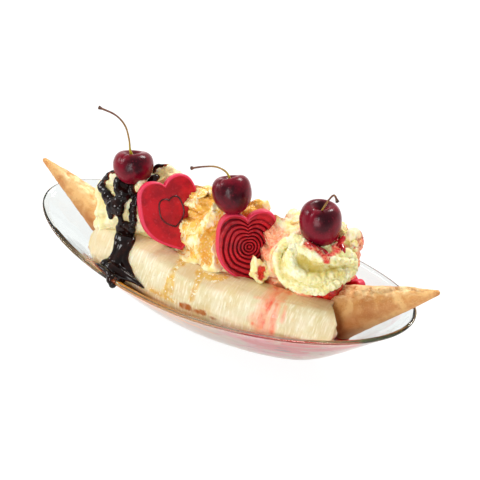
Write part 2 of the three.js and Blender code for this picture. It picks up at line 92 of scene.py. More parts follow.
def noise(p, size, seed=0, octaves=1):
    """Smooth random values between -1 and 1 at points p, about `size` apart."""
    total, gain, norm = 0.0, 1.0, 0.0
    p = np.asarray(p, float) / size
    for octave in range(octaves):
        base = np.floor(p).astype(np.int64)
        f = p - base
        f = f * f * f * (f * (f * 6 - 15) + 10)
        value = 0.0
        for a in (0, 1):
            for b in (0, 1):
                for c in (0, 1):
                    w = (f[:, 0] if a else 1 - f[:, 0]) * (f[:, 1] if b else 1 - f[:, 1])
                    w = w * (f[:, 2] if c else 1 - f[:, 2])
                    value = value + w * lattice(base[:, 0] + a, base[:, 1] + b, base[:, 2] + c, seed + octave)
        total = total + gain * value
        norm += gain
        gain *= 0.5
        p = p * 2.03 + 7.1
    return total / norm


def ridged(p, size, seed=0, octaves=2):
    """Between 0 and 1, with sharp crests."""
    return 1 - np.abs(noise(p, size, seed, octaves)) * 2


def waves(p, size, seed):
    """Even waves between -1 and 1."""
    x, y, z = (p / size).T
    first = np.sin(x + 1.7 * seed) * np.cos(0.9 * y - 2.3 * seed)
    second = np.sin(1.1 * z + 0.8 * y + seed) * np.cos(1.3 * x - z + 3.1 * seed)
    return (first + second) / 2


def crags(p, size, seed):
    """Waves with sharp crests."""
    return 1 - np.abs(waves(p, size, seed)) * 2


def distance_to_route(points, route):
    best = np.full(len(points), 1e9)
    route = np.asarray(route, float)
    lengths = np.linalg.norm(np.diff(route, axis=0), axis=1)
    for start, end, length in zip(route[:-1], route[1:], lengths):
        step = end - start
        t = np.clip(((points - start) @ step) / max(length**2, 1e-9), 0, 1)
        best = np.minimum(best, np.linalg.norm(points - (start + t[:, None] * step), axis=1))
    return best


def distance_to_spot(points, spot, scale=(1, 1, 1)):
    return np.linalg.norm((points - spot) * scale, axis=1)


def resample(route, step):
    """Points about `step` apart on a smooth line (a Catmull-Rom spline) through `route`."""
    r = np.asarray(route, float)
    r = np.vstack([2 * r[0] - r[1], r, 2 * r[-1] - r[-2]])
    out = []
    for i in range(1, len(r) - 2):
        count = max(1, int(np.linalg.norm(r[i + 1][:3] - r[i][:3]) / step))
        for t in np.arange(count) / count:
            a = 2 * r[i]
            b = r[i + 1] - r[i - 1]
            c = 2 * r[i - 1] - 5 * r[i] + 4 * r[i + 1] - r[i + 2]
            d = -r[i - 1] + 3 * r[i] - 3 * r[i + 1] + r[i + 2]
            out.append((a + b * t + c * t**2 + d * t**3) / 2)
    out.append(r[-2])
    return np.array(out)


# ------------------------------------------------------------------ meshes


def new_object(name, points, faces, material):
    mesh = bpy.data.meshes.new(name)
    mesh.from_pydata((np.asarray(points) * MM).tolist(), [], [tuple(map(int, f)) for f in faces])
    mesh.update()
    mesh.polygons.foreach_set("use_smooth", [True] * len(mesh.polygons))
    mesh.materials.append(material)
    obj = bpy.data.objects.new(name, mesh)
    bpy.context.scene.collection.objects.link(obj)
    return obj


def vertex_data(obj, kind):
    flat = np.empty(len(obj.data.vertices) * 3)
    obj.data.vertices.foreach_get(kind, flat)
    return flat.reshape(-1, 3)


def points_of(obj):
    return vertex_data(obj, "co") / MM


def normals_of(obj):
    return vertex_data(obj, "normal")


def move_points(obj, points):
    obj.data.vertices.foreach_set("co", (np.asarray(points) * MM).ravel())
    obj.data.update()


def mask(obj, name, values):
    """Keeps values from 0 to 1 at the points of obj, for its material to read."""
    layer = obj.data.attributes.new(name, "FLOAT", "POINT")
    values = np.broadcast_to(values, len(obj.data.vertices))
    layer.data.foreach_set("value", np.clip(values, 0, 1).astype(np.float32))


def belongs(obj, slot, *nodes):
    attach(obj, "root")
    if nodes:
        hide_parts(*nodes)


def tree_of(obj):
    return BVHTree.FromPolygons(
        [v.co / MM for v in obj.data.vertices], [tuple(p.vertices) for p in obj.data.polygons]
    )


def ring_faces(rings, sides, closed_ends=True):
    """Faces of a stack of rings; with closed_ends, point 0 and the last point close the stack."""
    first = 1 if closed_ends else 0
    faces = []
    for r in range(rings - 1):
        a, b = first + r * sides, first + (r + 1) * sides
        for s in range(sides):
            t = (s + 1) % sides
            faces.append((a + s, a + t, b + t, b + s))
    if closed_ends:
        end = first + rings * sides
        last = first + (rings - 1) * sides
        for s in range(sides):
            t = (s + 1) % sides
            faces.append((0, first + t, first + s))
            faces.append((end, last + s, last + t))
    return faces


def stack(name, start, rings, end, material):
    """A closed skin through rings of points, turned outwards."""
    rings = np.asarray(rings)
    count, sides = rings.shape[:2]
    points = np.vstack([[start], rings.reshape(-1, 3), [end]])
    obj = new_object(name, points, ring_faces(count, sides), material)
    bm = bmesh.new()
    bm.from_mesh(obj.data)
    bmesh.ops.recalc_face_normals(bm, faces=bm.faces)
    if bm.calc_volume(signed=True) < 0:
        bmesh.ops.reverse_faces(bm, faces=bm.faces)
    bm.to_mesh(obj.data)
    bm.free()
    return obj


_balls = {}


def ball_mesh(level):
    if level not in _balls:
        bm = bmesh.new()
        bmesh.ops.create_icosphere(bm, subdivisions=level, radius=1)
        points = np.array([v.co[:] for v in bm.verts])
        faces = np.array([[v.index for v in f.verts] for f in bm.faces])
        bm.free()
        _balls[level] = (unit(points), faces)
    return _balls[level]


def join_lumps(lumps):
    points, faces, base = [], [], 0
    for p, f in lumps:
        points.append(p)
        faces.append(f + base)
        base += len(p)
    return np.vstack(points), np.vstack(faces)


def melted(name, lumps, voxel, material, smoothing):
    """One closed skin round overlapping lumps, smoothed as many times as `smoothing` says."""
    obj = new_object(name, *join_lumps(lumps), material)
    remesh = obj.modifiers.new("skin", "REMESH")
    remesh.mode = "VOXEL"
    remesh.voxel_size = voxel * MM
    remesh.use_smooth_shade = True
    smooth = obj.modifiers.new("smooth", "SMOOTH")
    smooth.factor = 0.5
    smooth.iterations = smoothing
    graph = bpy.context.evaluated_depsgraph_get()
    mesh = bpy.data.meshes.new_from_object(obj.evaluated_get(graph), depsgraph=graph)
    obj.modifiers.clear()
    old = obj.data
    obj.data = mesh
    bpy.data.meshes.remove(old)
    mesh.name = name
    mesh.polygons.foreach_set("use_smooth", [True] * len(mesh.polygons))
    if not mesh.materials:
        mesh.materials.append(material)
    return obj


def blob(centre, radii, normal=(0, 0, 1), level=3):
    """A ball squashed along `normal`: radii are (across, along the normal)."""
    d, faces = ball_mesh(level)
    n = unit(np.asarray(normal, float))
    side = unit(np.cross(n, (0.3, 0.9, 0.1)))
    other = np.cross(n, side)
    across, high = radii
    points = d[:, :1] * side * across + d[:, 1:2] * other * across + d[:, 2:] * n * high
    return points + np.asarray(centre), faces


def tube(name, path, radii, sides, hint, material, overshoot=(0, 0)):
    """A closed tube along a path, with ends that reach past it; hint is a direction the path never takes."""
    tangent = unit(np.gradient(path, axis=0))
    side = unit(np.cross(tangent, hint))
    other = np.cross(tangent, side)
    turn = turns(sides)
    rings = [
        c + r * (np.cos(turn)[:, None] * s + np.sin(turn)[:, None] * o)
        for c, s, o, r in zip(path, side, other, radii)
    ]
    start, end = path[0] - tangent[0] * overshoot[0], path[-1] + tangent[-1] * overshoot[1]
    return stack(name, start, rings, end, material)


# ------------------------------------------------------------------ materials


class Look:
    """A node material with a Principled shader; positions in it are millimetres."""

    def __init__(self, name, **values):
        self.material = bpy.data.materials.new(name)
        self.material.use_nodes = True
        self.tree = self.material.node_tree
        self.shader = self.tree.nodes["Principled BSDF"]
        self.output = self.tree.nodes["Material Output"]
        for key, value in values.items():
            self.shader.inputs[key.replace("_", " ")].default_value = value
        where = self.node("ShaderNodeTexCoord")
        self.place = self.vector("MULTIPLY", where.outputs["Object"], (1000, 1000, 1000))

    def node(self, kind, props=None, **inputs):
        made = self.tree.nodes.new(kind)
        for key, value in (props or {}).items():
            setattr(made, key, value)
        for key, value in inputs.items():
            self.put(made.inputs[key.replace("_", " ")], value)
        return made

    def put(self, socket, value):
        if isinstance(value, bpy.types.NodeSocket):
            self.tree.links.new(value, socket)
        else:
            socket.default_value = value

    def vector(self, operation, a, b):
        made = self.tree.nodes.new("ShaderNodeVectorMath")
        made.operation = operation
        self.put(made.inputs[0], a)
        self.put(made.inputs[1], b)
        return made.outputs[0]

    def math(self, operation, a, b):
        made = self.tree.nodes.new("ShaderNodeMath")
        made.operation = operation
        self.put(made.inputs[0], a)
        self.put(made.inputs[1], b)
        return made.outputs[0]

    def times(self, a, b):
        return self.math("MULTIPLY", a, b)

    def less(self, a, b):
        return self.math("SUBTRACT", a, b)

    def noise(self, size, detail=3.0, rough=0.55, stretch=None, distort=0.0):
        at = self.place if stretch is None else self.vector("MULTIPLY", self.place, stretch)
        return self.node(
            "ShaderNodeTexNoise",
            Vector=at, Scale=1.0 / size, Detail=detail, Roughness=rough, Distortion=distort,
        ).outputs["Fac"]

    def attribute(self, name):
        return self.node("ShaderNodeAttribute", {"attribute_name": name}).outputs["Fac"]

    def spread(self, value, low, high):
        """0 below low, 1 above high."""
        return self.node(
            "ShaderNodeMapRange",
            {"interpolation_type": "SMOOTHSTEP"},
            Value=value,
            **{"From_Min": low, "From_Max": high, "To_Min": 0.0, "To_Max": 1.0},
        ).outputs["Result"]

    def patches(self, low, high, *settings):
        """Soft patches of noise: 0 where it is below low, 1 where it is above high."""
        return self.spread(self.noise(*settings), low, high)

    def between(self, value, start, full, fade, end):
        """1 between full and fade, 0 before start and after end."""
        return self.times(self.spread(value, start, full), self.less(1.0, self.spread(value, fade, end)))

    def mix(self, amount, a, b, strength=1.0):
        """Colour a, and b over it as far as amount, times strength, says."""
        if strength != 1.0:
            amount = self.times(amount, strength)
        made = self.tree.nodes.new("ShaderNodeMix")
        made.data_type = "RGBA"
        self.put(made.inputs["Factor"], amount)
        self.put(made.inputs["A"], a if isinstance(a, bpy.types.NodeSocket) else colour(a))
        self.put(made.inputs["B"], b if isinstance(b, bpy.types.NodeSocket) else colour(b))
        return made.outputs["Result"]

    def bump(self, *heights, strength, distance):
        total = heights[0]
        for height in heights[1:]:
            total = self.math("ADD", total, height)
        made = self.node("ShaderNodeBump", Height=total, Strength=strength, Distance=distance * MM)
        self.tree.links.new(made.outputs["Normal"], self.shader.inputs["Normal"])

    def set(self, **sockets):
        for key, value in sockets.items():
            self.put(self.shader.inputs[key.replace("_", " ")], value)


def colour(rgb):
    """Screen colour, 0 to 255, as the light values that shaders use."""
    c = np.asarray(rgb[:3], float) / 255
    linear = np.where(c <= 0.04045, c / 12.92, ((c + 0.055) / 1.055) ** 2.4)
    return (*linear.tolist(), 1.0)


def see_through_for_lamps(look, tint):
    """Lamps light what lies behind the glass."""
    path = look.node("ShaderNodeLightPath")
    clear = look.node("ShaderNodeBsdfTransparent", Color=colour(tint))
    blend = look.node("ShaderNodeMixShader", Fac=path.outputs["Is Shadow Ray"])
    look.tree.links.new(look.shader.outputs[0], blend.inputs[1])
    look.tree.links.new(clear.outputs[0], blend.inputs[2])
    look.tree.links.new(blend.outputs[0], look.output.inputs["Surface"])


# ------------------------------------------------------------------ the glass dish

HALF_LENGTH, HALF_WIDTH, RIM_HEIGHT, END_LIFT = 120.0, 50.5, 38.8, 8.5
WALL, FLOOR, FLOOR_FILLET, FOOT_MARGIN, POOL_LEVEL = 3.2, 5.0, 2.5, 14.0, 18.5
# the foot's size as a share of the rim's, how the wall flares, and the roundness of the boat's outline
FOOT_LENGTH, FOOT_WIDTH, FLARE, OUTLINE_ALONG, OUTLINE_ACROSS = 0.52, 0.385, 0.9, 1.81, 2.05
DISH_SIDES, POOL_SIDES = 260, 220


def rim_at(along):
    return RIM_HEIGHT + END_LIFT * along**2


def half_width(along):
    """Half-width of the rim as a share of the widest, at a share of the way from the middle to an end."""
    return np.maximum(0, 1 - along**OUTLINE_ALONG) ** (1 / OUTLINE_ACROSS)


def spans(share):
    """Length and width of the hull against the rim's, at a share of its height."""
    grown = share**FLARE
    return FOOT_LENGTH + (1 - FOOT_LENGTH) * grown, FOOT_WIDTH + (1 - FOOT_WIDTH) * grown


def hull_ring(share, inset, rise, turn):
    """A ring on the outside of the hull, at a share of its height, moved in by `inset` and up by `rise`."""
    along = np.abs(np.cos(turn))
    x, y = HALF_LENGTH * np.cos(turn), HALF_WIDTH * half_width(along) * np.sign(np.sin(turn).round(9))
    long, wide = spans(share)
    outward = unit(np.stack([x / HALF_LENGTH**2, y / HALF_WIDTH**2], -1))
    return np.stack([
        x * long - outward[:, 0] * inset,
        y * wide - outward[:, 1] * inset,
        rim_at(along) * share + rise,
    ], -1)


def inner_ring(share, clear, turn):
    """A ring on the inside of the hull, `clear` away from the glass."""
    rise = FLOOR * (1 - share) ** 2 + clear * (1 - share)
    return hull_ring(share, WALL + FLOOR_FILLET * (1 - share) ** 3 + clear, rise, turn)


def wall_at(points, inset):
    """How far out along Y the hull's skin is, less `inset`, at each point's x and z."""
    x, z = np.abs(points[:, 0]), points[:, 2]
    share = np.clip(z / 42, 0.02, 1)  # a first guess, which the loop brings closer
    for _ in range(12):
        long, wide = spans(share)
        along = np.clip(x / (HALF_LENGTH * long), 0, 0.9999)
        share = np.clip(z / rim_at(along), 0.02, 1)
    across = half_width(along)
    out = HALF_WIDTH * across * wide
    return out - inset * np.sqrt(1 + (along * 0.42 / np.maximum(across, 0.2)) ** 2)


def make_dish(material):
    """One skin: up the outside from the flat foot, over the rounded rim and down the inside to the floor."""
    turn = turns(DISH_SIDES)
    outside = [hull_ring(s, 0, 0, turn) for s in np.linspace(0.03, 0.94, 26)]
    bead = [
        hull_ring(0.962 + 0.038 * math.sin(a), 1.25 - 1.85 * math.cos(a), 0.5 * math.sin(a), turn)
        for a in np.linspace(0, math.pi, 13)
    ]
    inside = [inner_ring(s, 0, turn) for s in np.linspace(0.94, 0.03, 26)]
    foot_steps = ((12, 0.9), (8, 0.7), (5, 0.1), (3.5, 0), (1.6, 0), (0.7, 0.1))
    foot = [hull_ring(0, inset, rise, turn) for inset, rise in foot_steps]
    foot.append(hull_ring(0.012, 0, 0, turn))
    floor = [inner_ring(0.012, 0, turn), hull_ring(0, 8, FLOOR, turn), hull_ring(0, FOOT_MARGIN, FLOOR, turn)]
    rings = [*foot, *outside, *bead, *inside, *floor]
    return stack("glass_dish", (0, 0, 0.9), rings, (0, 0, FLOOR), material)


glass = Look("glass", Roughness=0.015, IOR=1.5, Transmission_Weight=1.0)
glass.set(Base_Color=colour((236, 240, 240)))
body = glass.node("ShaderNodeVolumeAbsorption", Color=colour((200, 206, 160)), Density=12.0)
glass.tree.links.new(body.outputs[0], glass.output.inputs["Volume"])
glass.bump(glass.noise(20, 1), strength=0.3, distance=1.2)
see_through_for_lamps(glass, (246, 248, 242))
belongs(make_dish(glass.material), "glass", "dish")

# ------------------------------------------------------------------ the melted pool

POOL_BITE, FILM_BITE = 0.3, 0.12  # how far each reaches into the glass


def make_pool(material):
    """Melted ice cream up to its level, reaching a little way into the glass."""
    turn = turns(POOL_SIDES)
    level = 0.41 * np.ones(len(turn))  # share of the wall's height, brought to the pool's level step by step
    for _ in range(20):
        ring_z = rim_at(np.cos(turn)) * level + FLOOR * (1 - level) ** 2
        level = level + (POOL_LEVEL - ring_z) / 45
    rings = [hull_ring(0, FOOT_MARGIN, FLOOR - POOL_BITE, turn)]
    rings += [inner_ring(level * part, -POOL_BITE, turn) for part in (0.03, 0.15, 0.3, 0.5, 0.7, 0.88, 1.0)]
    edge = rings[-1]
    edge[:, 2] = POOL_LEVEL + 0.5
    for part in np.linspace(0.985, 0.03, 44):
        ring = edge * (part, part, 1)
        ring[:, 2] = POOL_LEVEL + 0.45 * noise(ring, 9, 11, 2) + 0.5 * bell(1 - part, 0.02)
        rings.append(ring)
    return stack("melted_pool", (0, 0, FLOOR - POOL_BITE), rings, (0, 0, POOL_LEVEL), material)


# streaks of syrup in the film: x and share of the wall's height at either end, and half-width as such a share
SMEAR_YELLOW = [
    (-66, 0.72, -34, 0.84, 0.09), (-42, 0.86, -8, 0.72, 0.08), (-34, 0.66, -12, 0.58, 0.03),
    (-9, 0.82, 6, 0.68, 0.06), (4, 0.76, 17, 0.58, 0.05),
]
SMEAR_RED = [
    (12, 0.62, 25, 0.66, 0.018), (32, 0.72, 48, 0.66, 0.05), (34, 0.66, 64, 0.54, 0.10),
    (48, 0.68, 74, 0.62, 0.07), (66, 0.60, 84, 0.70, 0.07), (78, 0.67, 98, 0.85, 0.07),
    (36, 0.42, 68, 0.45, 0.09), (58, 0.82, 80, 0.84, 0.08),
]
SMEAR_DARK = [(49, 0.47, 58, 0.46, 0.04), (52, 0.62, 58, 0.58, 0.02)]


def streaks(points, share, runs, seed):
    """1 in the middle of any streak in the film and 0 off it."""
    amount = np.zeros(len(points))
    wander = 0.02 * noise(points * (0.4, 1, 1), 3.0, seed, 2)
    for start, low, end, high, width in runs:
        t = np.clip((points[:, 0] - start) / (end - start), 0, 1)
        swell = width * np.sqrt(4 * t * (1 - t)) + 1e-6
        off = np.abs(share - low - (high - low) * t + wander)
        amount = np.maximum(amount, smoothstep(1.3, 0.7, off / swell))
    return amount


FILM_FOOT, FILM_ROWS, FILM_STEPS = 0.36, 26, 260


def make_smear(material):
    """A thin film of melted cream that clings to the inside of the wall, above the pool."""
    rows, sides = FILM_ROWS, FILM_STEPS
    turn = np.linspace(math.pi * 1.12, math.pi * 1.90, sides)
    edge = np.stack([np.cos(turn) * 60, np.sin(turn) * 60, np.zeros(sides)], -1)
    fall = 0.34 * smoothstep(-0.60, -0.80, np.cos(turn)) + 0.3 * smoothstep(0.86, 1.0, np.cos(turn))
    top = 0.885 + 0.03 * noise(edge, 11, 31, 2) - fall
    shares = [FILM_FOOT + (top - FILM_FOOT) * row / (rows - 1) for row in range(rows)]
    thick = 0.8 * np.ones(rows)
    thick[-3:] = (0.6, 0.35, 0.12)
    front = np.array([inner_ring(share, -FILM_BITE, turn) for share in shares])
    back = np.array([inner_ring(share, t, turn) for share, t in zip(shares, thick)])
    points = np.vstack([front.reshape(-1, 3), back.reshape(-1, 3)])
    faces, shift, top_row = [], rows * sides, (rows - 1) * sides
    for r in range(rows - 1):
        for s in range(sides - 1):
            a, b = r * sides + s, (r + 1) * sides + s
            faces.append((a, a + 1, b + 1, b))
            faces.append((shift + a, shift + b, shift + b + 1, shift + a + 1))
    for s in range(sides - 1):
        faces.append((top_row + s, top_row + s + 1, shift + top_row + s + 1, shift + top_row + s))
        faces.append((s + 1, s, shift + s, shift + s + 1))
    for r in range(rows - 1):
        a, b = r * sides, (r + 1) * sides
        faces.append((a, b, shift + b, shift + a))
        a, b = a + sides - 1, b + sides - 1
        faces.append((b, a, shift + a, shift + b))
    obj = new_object("melted_smear", points, faces, material)
    share = np.tile(np.concatenate(shares), 2)
    for name, runs in (("syrup", SMEAR_YELLOW), ("berries", SMEAR_RED), ("berries_dark", SMEAR_DARK)):
        mask(obj, name, streaks(points, share, runs, len(name)))
    return obj


def milk_look():
    look = Look("melted_cream", Roughness=0.22, Subsurface_Weight=0.25, Subsurface_Scale=0.003)
    x = look.node("ShaderNodeSeparateXYZ", Vector=look.place).outputs
    base = look.mix(look.patches(0.35, 0.65, 16, 3), (206, 164, 138), (188, 146, 120))
    # yellow streaks to the left of the middle, red ones to the right
    streak = look.noise(5.5, 4, 0.6, (0.32, 1.0, 1.1), 0.8)
    left = look.between(x[0], -70.0, -45.0, 5.0, 30.0)
    yellow = look.times(look.spread(streak, 0.56, 0.62), left)
    base = look.mix(yellow, base, (238, 158, 12))
    right = look.between(x[0], 15.0, 34.0, 78.0, 92.0)
    pink = look.times(look.patches(0.42, 0.62, 13, 2), right)
    base = look.mix(pink, base, (214, 116, 126))
    red_streak = look.noise(4.6, 4, 0.62, (0.26, 1.2, 1.5), 0.9)
    red = look.times(look.spread(red_streak, 0.57, 0.62), right)
    base = look.mix(red, base, (208, 26, 8))
    dark = look.times(look.spread(red_streak, 0.645, 0.68), right)
    base = look.mix(dark, base, (90, 2, 12))
    base = look.mix(look.attribute("syrup"), base, (236, 146, 0))
    base = look.mix(look.attribute("berries"), base, (206, 16, 4))
    base = look.mix(look.attribute("berries_dark"), base, (110, 0, 8))
    look.set(Base_Color=base)
    look.bump(look.noise(3, 3), strength=0.2, distance=0.4)
    return look


milk = milk_look()
belongs(make_pool(milk.material), "melted_cream", "sauce_pool")
belongs(make_smear(milk.material), "melted_cream")

# ------------------------------------------------------------------ bananas

BANANA_RADIUS, BANANA_OFFSET, BANANA_HEIGHT, BANANA_CUT = 17.0, 20.0, 32.5, 6.5
NEAR = {"side": -1, "start": -78.0, "end": 76.0, "start_radius": 0.55, "end_radius": 0.94}
FAR = {"side": 1, "start": -58.0, "end": 44.0, "start_radius": 0.6, "end_radius": 0.9}
BANANA_SWEEP, BANANA_BEND = 9, 75  # how far its ends bend in, and at what distance from the middle
BANANA_STEPS, CUT_STEPS, BANANA_RINGS = 150, 14, 190
TIP_LENGTH, TIP_REACH = 6, 3.5  # of the rounded left tip, on either side of the start


def ridge_angle(x):
    """Angle of the ridge along the top of a banana, from the direction of its cut face."""
    return 1.84 + 0.32 * bell(x - 8, 36)


def banana_axis(banana, x):
    """Y of a banana's middle."""
    return banana["side"] * (BANANA_OFFSET - BANANA_SWEEP * (x / BANANA_BEND) ** 2)


def end_slant(p):
    """How far the broken end of the near banana slants forward."""
    return np.clip(0.9 * (-p[:, 1] - 11), -2, 7.5)


def banana_section(banana, x):
    """A ring round a banana at x: its skinned side with five soft ridges, then its cut face."""
    steps = BANANA_STEPS
    share = (x - banana["start"]) / (banana["end"] - banana["start"])
    y0 = banana_axis(banana, x)
    z0 = BANANA_HEIGHT + (0 if x > 0 else (x / BANANA_BEND) ** 2)
    first = banana["start_radius"]
    cap = first + (1 - first) * math.sqrt(float(smoothstep(-0.02, 0.17, share)))
    cap *= 1 - (1 - banana["end_radius"]) * float(smoothstep(0.75, 1, share))
    radius = BANANA_RADIUS * cap
    cut = BANANA_CUT * cap
    opening = math.acos(min(0.95, cut / radius))
    angle = opening + (2 * math.pi - 2 * opening) * np.linspace(0, 1, steps)
    fade = np.sin(math.pi * np.linspace(0, 1, steps)) ** 0.6
    from_ridge = angle - ridge_angle(x)
    wobble = 0.75 * np.cos(5 * from_ridge) + 0.14 * np.cos(10 * from_ridge) + 0.1 * np.cos(11 * angle)
    wobble = wobble + 0.4 * waves(np.stack([np.full(steps, x), np.zeros(steps), angle * 9], -1), 9, 4)
    reach = radius + fade * wobble
    y = y0 - banana["side"] * reach * np.cos(angle)
    arc = np.stack([np.full(steps, x), y, z0 + reach * np.sin(angle)], -1)
    t = np.linspace(0, 1, CUT_STEPS + 2)[1:-1, None]
    flat = arc[-1] * (1 - t) + arc[0] * t
    flat[:, 1] += banana["side"] * 0.9 * np.sin(math.pi * t[:, 0])
    return np.vstack([arc, flat])


def make_banana(name, banana, material):
    start, rings = banana["start"], []
    xs = np.concatenate([
        np.linspace(start - TIP_REACH, start + 8, 24)[1:],
        np.linspace(start + 8, banana["end"], BANANA_RINGS)[1:],
    ])
    for x in xs:
        ring = banana_section(banana, max(x, start))
        if x < start + TIP_LENGTH:
            part = (start + TIP_LENGTH - x) / (TIP_LENGTH + TIP_REACH)
            shrink = math.sqrt(max(0.0, 1 - part**2.2))
            middle = ring.mean(axis=0)
            ring = middle + (ring - middle) * max(shrink, 0.03)
            ring[:, 0] = x
        rings.append(ring)
    # the broken right end: three seed lobes that part at the middle
    last, middle = rings[-1], rings[-1].mean(axis=0)
    for part in np.linspace(0.97, 0.04, 26):
        ring = middle + (last - middle) * part
        spoke = np.arctan2(ring[:, 2] - middle[2], (ring[:, 1] - middle[1]) * banana["side"])
        seam = np.abs(np.sin(1.5 * (spoke - 0.5)))
        lobes = 2.8 * seam**0.45 * math.sin(math.pi * part) ** 0.7
        ragged = 0.9 * noise(ring, 2.2, 5, 3) * math.sin(math.pi * min(1, part * 1.1))
        ragged = ragged + 1.3 * noise(ring, 5, 6)
        ring[:, 0] = last[:, 0] + lobes - 1.6 + 1.6 * (part > 0.9) + ragged * (1 - part**6)
        rings.append(ring)
    rings = np.array(rings)
    obj = stack(name, rings[0].mean(axis=0) - (0.2, 0, 0), rings, rings[-1].mean(axis=0), material)
    points = points_of(obj)
    strings = 0.16 * noise(points * (0.05, 1, 1), 2.1, 3, 2)
    strings = strings + 0.05 * noise(points * (1.2, 0.25, 0.25), 1.0, 9, 2)
    dents = 0.35 * noise(points * (0.5, 1, 1), 9, 21, 2)
    points = points + normals_of(obj) * (strings + dents)[:, None]
    if banana is NEAR:
        points[:, 0] += end_slant(points) * smoothstep(50, 76, points[:, 0])
    inside = np.maximum(wall_at(points, WALL + 1.3) - 2.2 * smoothstep(31, 20, points[:, 2]), 2)
    points[:, 1] = np.clip(points[:, 1], -inside, inside)
    move_points(obj, points)
    return obj


CARAMEL_RUNS = [
    ([(-14.6, -18, 50.4), (-14, -21.9, 49.8)], 2.9),
    ([(-14.5, -23.5, 49.4), (-14.9, -28.5, 47.5)], 1.5),
    ([(-14.8, -31, 45.3), (-15.8, -33.2, 42.2), (-16, -35.2, 39.2), (-16.6, -36.7, 36.4)], 1.9),
    ([(-14.2, -29.5, 46.4), (-12.9, -33.6, 41.5), (-12.5, -35.8, 38.2)], 1.3),
    ([(-0.5, -23.4, 49.4), (4.5, -23.6, 49.6), (9, -23, 49.4), (12.3, -19.4, 49.3)], 3.0),
    ([(0.7, -26, 48.6), (1, -28.4, 47.2), (1.7, -31.1, 45.1), (1, -33.2, 42), (0.6, -35.1, 38.9)], 1.7),
    ([(-24.9, -36.8, 35.6), (-20.1, -37.1, 34.9), (-14.6, -37.3, 34.8), (-9.2, -37.4, 34.4)], 1.4),
]
RED_RUNS = [
    ([(42, -12.1, 48.6), (45, -12.4, 48.7), (50, -12.6, 48.7)], 2.3),
    ([(45.4, -14, 48.8), (44.6, -19, 49.4), (45.6, -23.9, 48.5)], 2.4),
    ([(36, -25.6, 48.3), (44, -23.6, 48.6), (52, -21.2, 48.9)], 0.5),
    ([(44.5, -24.8, 48), (44.4, -28.5, 44.6), (44, -31.6, 40), (43.5, -33.2, 37)], 2.9),
    ([(49.6, -24.5, 47.8), (50.2, -27.6, 44.8), (50, -30.4, 40.2), (50.6, -31.6, 37.9),
      (51, -32.6, 35)], 1.8),
    ([(39.6, -33.9, 37.2), (44.2, -33.3, 37)], 1.4),
    ([(54, -23, 47.6), (54.8, -26, 44.8), (55, -28.4, 41.2)], 0.7),
]
RED_WASH = [
    ([(45, -16, 48.8), (45.4, -24, 48), (45.6, -29, 44), (45, -33.5, 37)], 6.0),
    ([(39, -32, 39.5), (44, -32.6, 38.5)], 3.0),
]
# lines of painted shade where the near banana meets the glass's rim and the foot of the scoops
BANANA_SHADE = [
    ([(-4.6, -37.6, 33.5), (0, -37.5, 33.5), (4.5, -37.3, 33.2), (9, -37.3, 33.3)], 1.7),
    ([(13, -37.4, 32.6), (17, -37.2, 32.4)], 1.0),
    ([(-24, -12.4, 48.8), (-14, -16.4, 49.2), (-3, -17.2, 49.2), (10, -16.6, 49.2), (20, -16.5, 49.2)], 0.8),
]


def cover(points, runs, ragged, seed, soft):
    """1 in the middle of any run of sauce and 0 off it, with an uneven edge."""
    best = np.zeros(len(points))
    wander = ragged * noise(points, 2.6, seed, 3)
    for route, width in runs:
        distance = distance_to_route(points, resample(route, 1.5))
        best = np.maximum(best, 1 - smoothstep(width - soft, width + soft, distance + wander * width * 0.6))
    return best


def banana_look():
    look = Look("banana", Subsurface_Weight=0.18, Subsurface_Scale=0.002)
    fibres = look.noise(0.95, 2, 0.5, (1.0, 0.16, 0.16), 0.2)
    strings = look.noise(2.4, 3, 0.6, (0.06, 1.0, 1.0))
    blotches = look.noise(11, 3)
    specks = look.noise(1.3, 2)
    base = look.mix(look.spread(blotches, 0.35, 0.65), (232, 221, 186), (222, 205, 156))
    base = look.mix(look.spread(fibres, 0.5, 0.68), base, (252, 246, 226), 0.6)
    base = look.mix(look.spread(fibres, 0.48, 0.32), base, (214, 192, 132), 0.28)
    base = look.mix(look.spread(strings, 0.60, 0.70), base, (222, 196, 140), 0.3)
    base = look.mix(look.attribute("tan"), base, (220, 192, 142))
    # painted shade along the rim and under the scoops, together with the worn brown edge of the broken end
    base = look.mix(look.attribute("shade"), base, (178, 96, 26))
    base = look.mix(look.spread(specks, 0.66, 0.72), base, (190, 150, 100), 0.35)
    caramel = look.attribute("caramel")
    syrup = look.mix(look.patches(0.4, 0.6, 2.5, 2), (232, 188, 76), (216, 160, 40))
    # painted glints: small near-white patches on the caramel
    syrup = look.mix(look.patches(0.58, 0.64, 1.7, 2), syrup, (255, 250, 226))
    base = look.mix(caramel, base, syrup, 0.85)
    red = look.attribute("red")
    wet = look.mix(look.patches(0.38, 0.66, 2.6, 3, 0.6, (1.0, 0.4, 0.4)), (246, 162, 124), (234, 104, 72))
    base = look.mix(red, base, wet)
    gloss = look.math("MAXIMUM", caramel, red)
    look.set(Base_Color=base, Roughness=look.less(0.5, look.times(gloss, 0.32)))
    look.bump(fibres, look.times(strings, 0.8), strength=0.35, distance=0.35)
    return look


